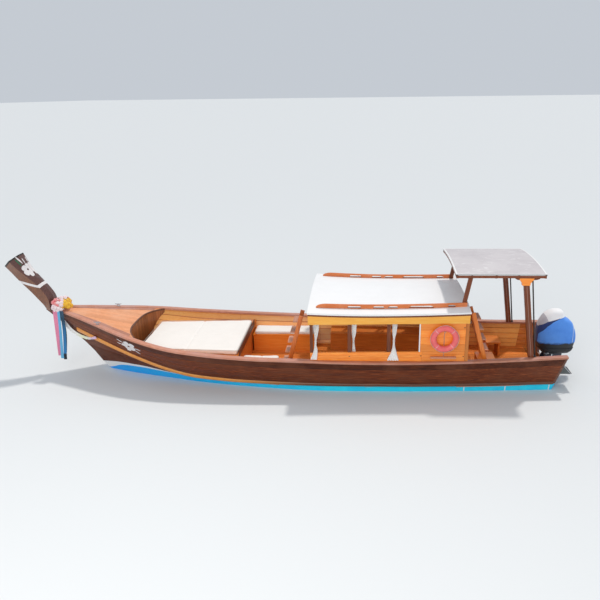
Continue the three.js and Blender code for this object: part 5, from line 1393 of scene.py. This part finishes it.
# Helm: console with a framed front, a spoked wheel and the box seat
CONSOLE_DEEP, CONSOLE_WAIST = .3495, .80
lo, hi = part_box("helm_console")
build = Build()
outline = [(.0005, lo.z), (CONSOLE_DEEP - .04, lo.z), (CONSOLE_DEEP, CONSOLE_WAIST),
           (CONSOLE_DEEP - .18 * math.tan(math.radians(20)), hi.z), (.0005, hi.z)]
build.slab([(lo.x + x, z) for x, z in outline], lo.y + .012, hi.y - .012, "xz", tone())
for y0, y1 in ((lo.y, lo.y + .03), (hi.y - .03, hi.y)):
    build.slab([(lo.x + x - .003 * (x > .2), z) for x, z in outline], y0, y1, "xz", tone(), 1)
build.done("helm_console_box", [ORANGE_UP, POST_WOOD], "orange_wood", "helm_console", bevel=.004)

WHEEL_AT, WHEEL_R, TILT = Vector((4.43, .7, .94)), .19, math.radians(20)
axle = Vector((math.cos(TILT), 0, math.sin(TILT)))
u_dir = Vector((-math.sin(TILT), 0, math.cos(TILT)))
v_dir = axle.cross(u_dir)
build = Build()
rows = []
for a in turns(60):
    radial = u_dir * math.cos(a) + v_dir * math.sin(a)
    grip = .013 * (1 - .05 * (.5 + .5 * math.cos(12 * a)))
    rows.append([WHEEL_AT + radial * (WHEEL_R + grip * math.cos(b)) + axle * (grip * math.sin(b))
                 for b in turns(12)])
build.grid(rows + rows[:1], closed=True)
build.lathe([(.001, -.021), (.032, -.021), (.034, -.015), (.034, .012), (.028, .019), (.001, .0205)],
            WHEEL_AT, axle, 28, 0, 1)
for a in turns(3):
    radial = u_dir * math.cos(a) + v_dir * math.sin(a)
    build.loft([[WHEEL_AT + radial * r + axle.cross(radial) * (w * c) + axle * (.0045 * d) for c, d in (
        (-1, -1), (1, -1), (1, 1), (-1, 1))] for r, w in ((.02, .015), (.09, .011), (.185, .013))], 0, 1)
reach = (WHEEL_AT - Vector((lo.x + CONSOLE_DEEP, .7, CONSOLE_WAIST))).dot(axle) - .0015
build.lathe([(.0155, -min(reach, .19)), (.0155, 0)], WHEEL_AT, axle, 20, 0, 1)
weld(build.done("helm_wheel_rim", [BLACK, STEEL], "black_plastic", "helm_wheel", body="wheel",
                smooth=40), .0001)

lo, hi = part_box("helm_seat")
build = Build()
build.block((lo.x, lo.y, hi.z - .04), hi, tone())
for x in (lo.x + .02, hi.x - .06):
    build.block((x, lo.y + .02, lo.z), (x + .04, hi.y - .02, hi.z - .04), tone())
build.done("helm_seat_boards", ORANGE, "orange_wood", "helm_seat", bevel=.005)

# Cleats: horned, on a base plate
CLEAT_X = -4.42
HORN = [(-.085, .058), (-.06, .053), (-.03, .050), (.03, .050), (.06, .053), (.085, .058)]
for side, sign in SIDES:
    build = Build()
    x, y, z = CLEAT_X, sheer_y(CLEAT_X) - CAP_WIDTH / 2, sheer_z(CLEAT_X)
    build.block((x - .045, y - .018, z + .0008), (x + .045, y + .018, z + .007))
    for dx in (-.018, .018):
        build.lathe([(.014, .004), (.009, .012), (.009, .038), (.013, .047)], (x + dx, y, z), (0, 0, 1), 12)
    build.tube([(x + dx, y, z + dz) for dx, dz in HORN], [.006, .0095, .0125, .0125, .0095, .006], 12)
    build.done(f"bow_cleat_horns_{side}", STEEL, "steel", f"bow_cleat_{side}", sign=sign, bevel=.0015,
               smooth=50)

# Garland of blossoms: ruffled discs over the clump, pink, white and yellow, with a white knot
GARLAND, GARLAND_HALF = Vector((-5.505, -.025, 1.665)), (.19, .24, .135)
PINK, PALE, YELLOW = range(3)


def blossom(build, at, aim, size, pick):
    """A ruffled blossom: three rings of petals round a heart."""
    aim = Vector(aim).normalized()
    u = aim.orthogonal().normalized()
    v = aim.cross(u)
    for layer, (count, r, lift) in enumerate(((9, 1.0, .05), (7, .72, .2), (5, .42, .34))):
        for k in range(count):
            a = 2 * math.pi * (k + .35 * layer) / count + rng.uniform(-.15, .15)
            d = u * math.cos(a) + v * math.sin(a)
            w = aim.cross(d)
            reach = size * r * rng.uniform(.9, 1.05)
            rings = []
            for t, width, rise in ((.0, .10, .0), (.45, .34, .16), (.8, .36, .2), (1.0, .16, .06)):
                c = at + d * (reach * t) + aim * (size * (lift + rise - .25 * t * t))
                h = size * width * (.75 if layer == 2 else 1)
                rings.append([c - w * h, c - aim * (size * .05), c + w * h, c + aim * (size * .03)])
            build.loft(rings, tone(), pick)
    heart = ((.001, -.1 * size), (.2 * size, .1 * size), (.18 * size, .4 * size), (.001, .5 * size))
    build.lathe(heart, at, aim, 8, 0, pick)


build = Build()
for ring, (count, lift) in enumerate(((1, 1.45), (7, 1.0), (12, .55), (14, .1), (12, -.35))):
    for k in range(count):
        a = 2 * math.pi * (k + .5 * ring) / count
        d = Vector((math.cos(lift) * math.cos(a), math.cos(lift) * math.sin(a), math.sin(lift)))
        at = GARLAND + d * Vector(GARLAND_HALF)
        inside_head = head_point(max(min((at.z - 1.52) / .14, 2), 0), -1)
        on_deck = at.z < 1.575 and (abs(at.y) > sheer_y(max(at.x, -5.59)) - .02 or at.x < -5.5)
        if abs(at.y) < .2 and (at.x < inside_head.x + .03 or on_deck):
            continue
        pick = PALE if (k + ring) % 3 else PINK
        if d.x < -.35 and d.z > -.1:
            pick = PINK
        blossom(build, at, d, .052, YELLOW if d.x > .45 else pick)
# The pale knot over the ribbons' tops, outside the port cap, and blossoms that fill the clump's outline
for x, y, z, size, pick in (
        (-5.60, -.27, 1.66, .055, PALE), (-5.53, -.29, 1.64, .055, PALE), (-5.46, -.30, 1.62, .052, PALE),
        (-5.64, -.25, 1.61, .045, PALE), (-5.56, -.31, 1.585, .05, PALE), (-5.48, -.32, 1.575, .045, PALE),
        (-5.40, -.30, 1.60, .042, PALE), (-5.62, -.22, 1.75, .055, PINK), (-5.58, -.18, 1.79, .055, PINK),
        (-5.56, -.24, 1.72, .055, PINK), (-5.47, -.10, 1.83, .055, PALE), (-5.40, -.05, 1.82, .055, PALE),
        (-5.44, -.14, 1.78, .05, PALE), (-5.30, -.10, 1.66, .055, YELLOW), (-5.27, -.06, 1.62, .055, YELLOW),
        (-5.33, -.16, 1.68, .055, YELLOW), (-5.30, -.14, 1.61, .05, YELLOW)):
    at = Vector((x, y, z))
    blossom(build, at, at - GARLAND + Vector((0, -.2, .1)), size, pick)
build.done("garland_blossoms", PETALS, "garland", "bow_garland", smooth=40)


# Ribbons hanging from the garland, and one draped along the bow to the rub rail
def ribbon(name, path, widths, material, seed, held="hung", curl=.006):
    path = [Vector(p) for p in path]
    rows_a, rows_b = [], []
    for i, p in enumerate(path):
        tangent = (path[min(i + 1, len(path) - 1)] - path[max(i - 1, 0)]).normalized()
        across = Vector((1, 0, 0)) if held == "hung" else Vector((-tangent.z, 0, tangent.x)).normalized()
        normal = tangent.cross(across).normalized()
        row = []
        for u in (j / 8 - .5 for j in range(9)):
            ripple = curl * math.sin(4.2 * math.pi * (u + .5) + seed + i * .18)
            row.append(p + across * (u * between(*widths, i / (len(path) - 1))) + normal * ripple)
        rows_a.append([q + normal * .0006 for q in row])
        rows_b.append([q - normal * .0006 for q in row])
    build = Build()
    build.shell(rows_a, rows_b)
    obj = build.done(name, material, "ribbon_cloth", smooth=60)
    length = round(sum((b - a).length for a, b in zip(path, path[1:])), 3)
    return obj


def fall(x0, x1, z0, z1, y0, y1, bow):
    return [(between(x0, x1, t) + bow * math.sin(math.pi * t), between(y0, y1, t) + .012 * math.sin(5 * t),
             between(z0, z1, t)) for t in np.linspace(0, 1, 30)]


pink = ribbon("ribbon_pink", fall(-5.545, -5.615, 1.58, .43, -.318, -.322, -.005), (.115, .06), RIBBON_PINK, .3)
ribbon("ribbon_light_blue", fall(-5.46, -5.545, 1.575, .36, -.330, -.330, -.005), (.06, .075), RIBBON_SKY, 1.7)
ribbon("ribbon_dark_blue", fall(-5.395, -5.48, 1.57, .33, -.322, -.325, .02), (.085, .075), RIBBON_NAVY, 3.1)
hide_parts("bow_ribbons")
ribbon("ribbon_green", fall(-5.395, -5.44, 1.40, .52, -.300, -.31, .03), (.03, .04), RIBBON_GREEN, 2.2)
drape_z = curve([(0, 1.27), (.16, 1.06), (.33, .93), (.50, .865), (.66, .87), (.83, .92), (1.0, .98)])
drape_path = []
for t in (i / 33 for i in range(34)):
    x, z, hull_y = -5.44 + .88 * t, drape_z(t), 0
    if x > -5.25:
        near = min(((section(s, k) - Vector((x, 0, z))).xz.length, s, k) for s in np.linspace(-5.6, -4.4, 26)
                   for k in np.linspace(.3, 2, 90)[::3])
        hull_y = section(*near[1:]).y
    drape_path.append((x, -max(.2, hull_y + RAIL_OUT + .014), z))
ribbon("ribbon_draped", drape_path, (.085, .065), RIBBON_PASTEL, .8, "draped",
       .005)

# Outboard motor: round edges on its lower parts, a shell for the cowl and a fitted cover. Columns: z, x, x, half.
COWL = [
    (.64, 5.84, 6.68, .190), (.76, 5.80, 6.70, .222), (.88, 5.788, 6.71, .232), (1.12, 5.79, 6.655, .234),
    (1.32, 5.86, 6.53, .212), (1.38, 5.895, 6.43, .200), (1.45, 5.95, 6.39, .178), (1.54, 6.08, 6.35, .128),
    (1.572, 6.16, 6.31, .084)]
COWL_X, COWL_SIDES, COWL_POWER = 6.24, 56, .6
COVER_LOW, COVER_HIGH, COVER_IN, COVER_ROWS, COVER_LONG = .775, 1.545, -.0045, 33, 1.62
cowl_x0, cowl_x1, cowl_half = (curve(COWL, k) for k in (1, 2, 3))


def cowl_point(a, z, grow):
    x0, x1, half = cowl_x0(z) - grow, cowl_x1(z) + grow, cowl_half(z) + grow
    c, s = (math.copysign(abs(v) ** COWL_POWER, v) for v in (math.cos(a), math.sin(a)))
    return Vector(((x0 + x1) / 2 + c * (x1 - x0) / 2, s * half, z))


def cowl_dome(z, grow, tops):
    """Rings that close the cowl above a height: shares of its ring there, each raised a little."""
    middle = Vector(((cowl_x0(z) + cowl_x1(z)) / 2, 0, z))
    return [[middle + (cowl_point(a, z, grow) - middle) * share + Vector((0, 0, rise)) for a in turns(COWL_SIDES)]
            for share, rise in tops]


build = Build()
build.loft([[cowl_point(a, z, -.012) for a in turns(COWL_SIDES)] for z in np.linspace(.6405, 1.55, 30)]
           + cowl_dome(1.55, -.012, ((.8, .008), (.4, .010), (.05, .010))))
build.done("motor_cowl_shell", BLACK, "cowl_cover", "motor_cowl", smooth=50, body="motor")


def fold(p):
    """The cover's cloth: pulled tight over the top, with small folds towards its hem."""
    low = max(0, min(1, (1.05 - p.z) / .35))
    a = math.atan2(p.y / .23, (p.x - COWL_X) / .45)
    ripple = .0045 * math.sin(17 * a + 1.3 * math.sin(3 * a)) * low + .003 * noise.noise(p * 6.5)
    return p + Vector((p.x - COWL_X, p.y * 1.9, 0)).normalized() * (ripple - .002)


def hem(a):
    return COVER_LOW + .020 * math.sin(5 * a + .8) * math.sin(3 * a) + .012 * math.sin(13 * a)


rings = [[cowl_point(a, between(hem(a), COVER_HIGH, i / COVER_ROWS), COVER_IN) for a in turns(COWL_SIDES)]
         for i in range(COVER_ROWS + 1)]
rings += cowl_dome(COVER_HIGH, COVER_IN, ((.85, .010), (.6, .0165), (.3, .0185), (.08, .019)))
rings = [[fold(p) for p in ring] for ring in rings]
inner = [[p - Vector((p.x - COWL_X, p.y * 1.9, p.z - 1.0)).normalized() * .0022 for p in ring] for ring in rings]
build = Build()
a, b = build.grid(rings, closed=True), build.grid(inner, closed=True, flip=True)
last = (len(rings) - 1) * COWL_SIDES
build.face(*(a + last + j for j in range(COWL_SIDES)))
build.face(*(b + last + j for j in reversed(range(COWL_SIDES))))
for j in range(COWL_SIDES):
    k = (j + 1) % COWL_SIDES
    build.face(a + j, b + j, b + k, a + k)
cover = build.done("motor_cover", COVER, "cowl_cover", smooth=60, body="motor")
cut_size(cover, COVER_LONG)

# Propeller: a tapered hub with three cupped, twisted blades
PROP_X, PROP_Z, PROP_LEN, PROP_ROOT, PROP_TIP = 6.7403, -.62, .11, .034, .172
build = Build()
build.lathe([(.001, 0), (.038, 0), (.0385, .004), (.0455, .10), (.044, .108), (.030, .11), (.028, .104),
             (.001, .104)], (PROP_X, 0, PROP_Z), (1, 0, 0), 32)
for angle in turns(3):
    turn = Matrix.Translation((PROP_X + PROP_LEN / 2, 0, PROP_Z)) @ Matrix.Rotation(angle, 4, "X")
    rings = []
    for t in np.linspace(0, 1, 12):
        chord = .058 + .052 * math.sin(math.pi * min(t * .85 + .12, 1)) - .05 * t ** 6
        cos, sin = math.cos(math.radians(62 - 26 * t)), math.sin(math.radians(62 - 26 * t))
        ring = []
        for c, w in ((-1, 0), (-.6, .8), (0, 1), (.6, .8), (1, 0), (.6, -.8), (0, -1), (-.6, -.8)):
            u = c * chord / 2 + .012 * t - .02 * t * t
            v = w * .0042 * (1 - .65 * t) + .006 * c * c
            ring.append(turn @ Vector((u * cos + v * sin, u * sin - v * cos, between(PROP_ROOT, PROP_TIP, t))))
        rings.append(ring)
    build.loft(rings)
build.done("propeller_blades", STEEL, "steel", "propeller", smooth=45, body="screw")

# Stage and light
floor_mesh = bpy.data.meshes.new("floor")
floor_mesh.from_pydata([(-400, -60, 0), (400, -60, 0), (400, 900, 0), (-400, 900, 0)], [], [(0, 1, 2, 3)])
floor_mesh.materials.append(Nodes("floor_paint", (.72, .74, .75), .9).material)
floor = bpy.data.objects.new("floor", floor_mesh)
scene.collection.objects.link(floor)
scene.world = bpy.data.worlds.new("studio")
scene.world.use_nodes = True
sky = scene.world.node_tree.nodes["Background"].inputs
sky[0].default_value, sky[1].default_value = (.86, .92, 1, 1), .65
for name, kind, place, aim, energy, size in (
        ("key", "SUN", (3, 6, 14), (0, 0, 0), 1.6, {"angle": math.radians(4)}),
        ("fill", "AREA", (-3, -16, 9), (0, 0, .5), 820, {"shape": "DISK", "size": 10})):
    light = bpy.data.lights.new(name, kind)
    light.energy, light.color = energy, (1, .96, .90)
    for key, value in size.items():
        setattr(light, key, value)
    lamp = bpy.data.objects.new(name, light)
    lamp.location = place
    lamp.rotation_euler = (Vector(aim) - Vector(place)).to_track_quat("-Z", "Y").to_euler()
    scene.collection.objects.link(lamp)
scene.view_settings.view_transform = "Standard"

# The rest of the CAD nodes
for name, material, bevel in (
        ("motor_pan", BLACK, .006), ("motor_block", MOTOR, .004), ("motor_clamp", MOTOR, .004),
        ("motor_swivel", MOTOR, .004), ("motor_leg", MOTOR, .005), ("bench_starboard", ORANGE_PAINTED_SUN, .003),
        ("bench_port", ORANGE_PAINTED_SUN, .003), ("cabin_roof", ROOF, .004), ("cabin_front_frame", ORANGE_UP, .003),
        ("cabin_aft_bulkhead", ORANGE_UP, .003), ("cabin_bench_starboard", ORANGE, .003),
        ("cabin_bench_port", ORANGE, .003), ("ring_bracket", TREAD_WOOD, .002)):
    dress(name, material, bevel)
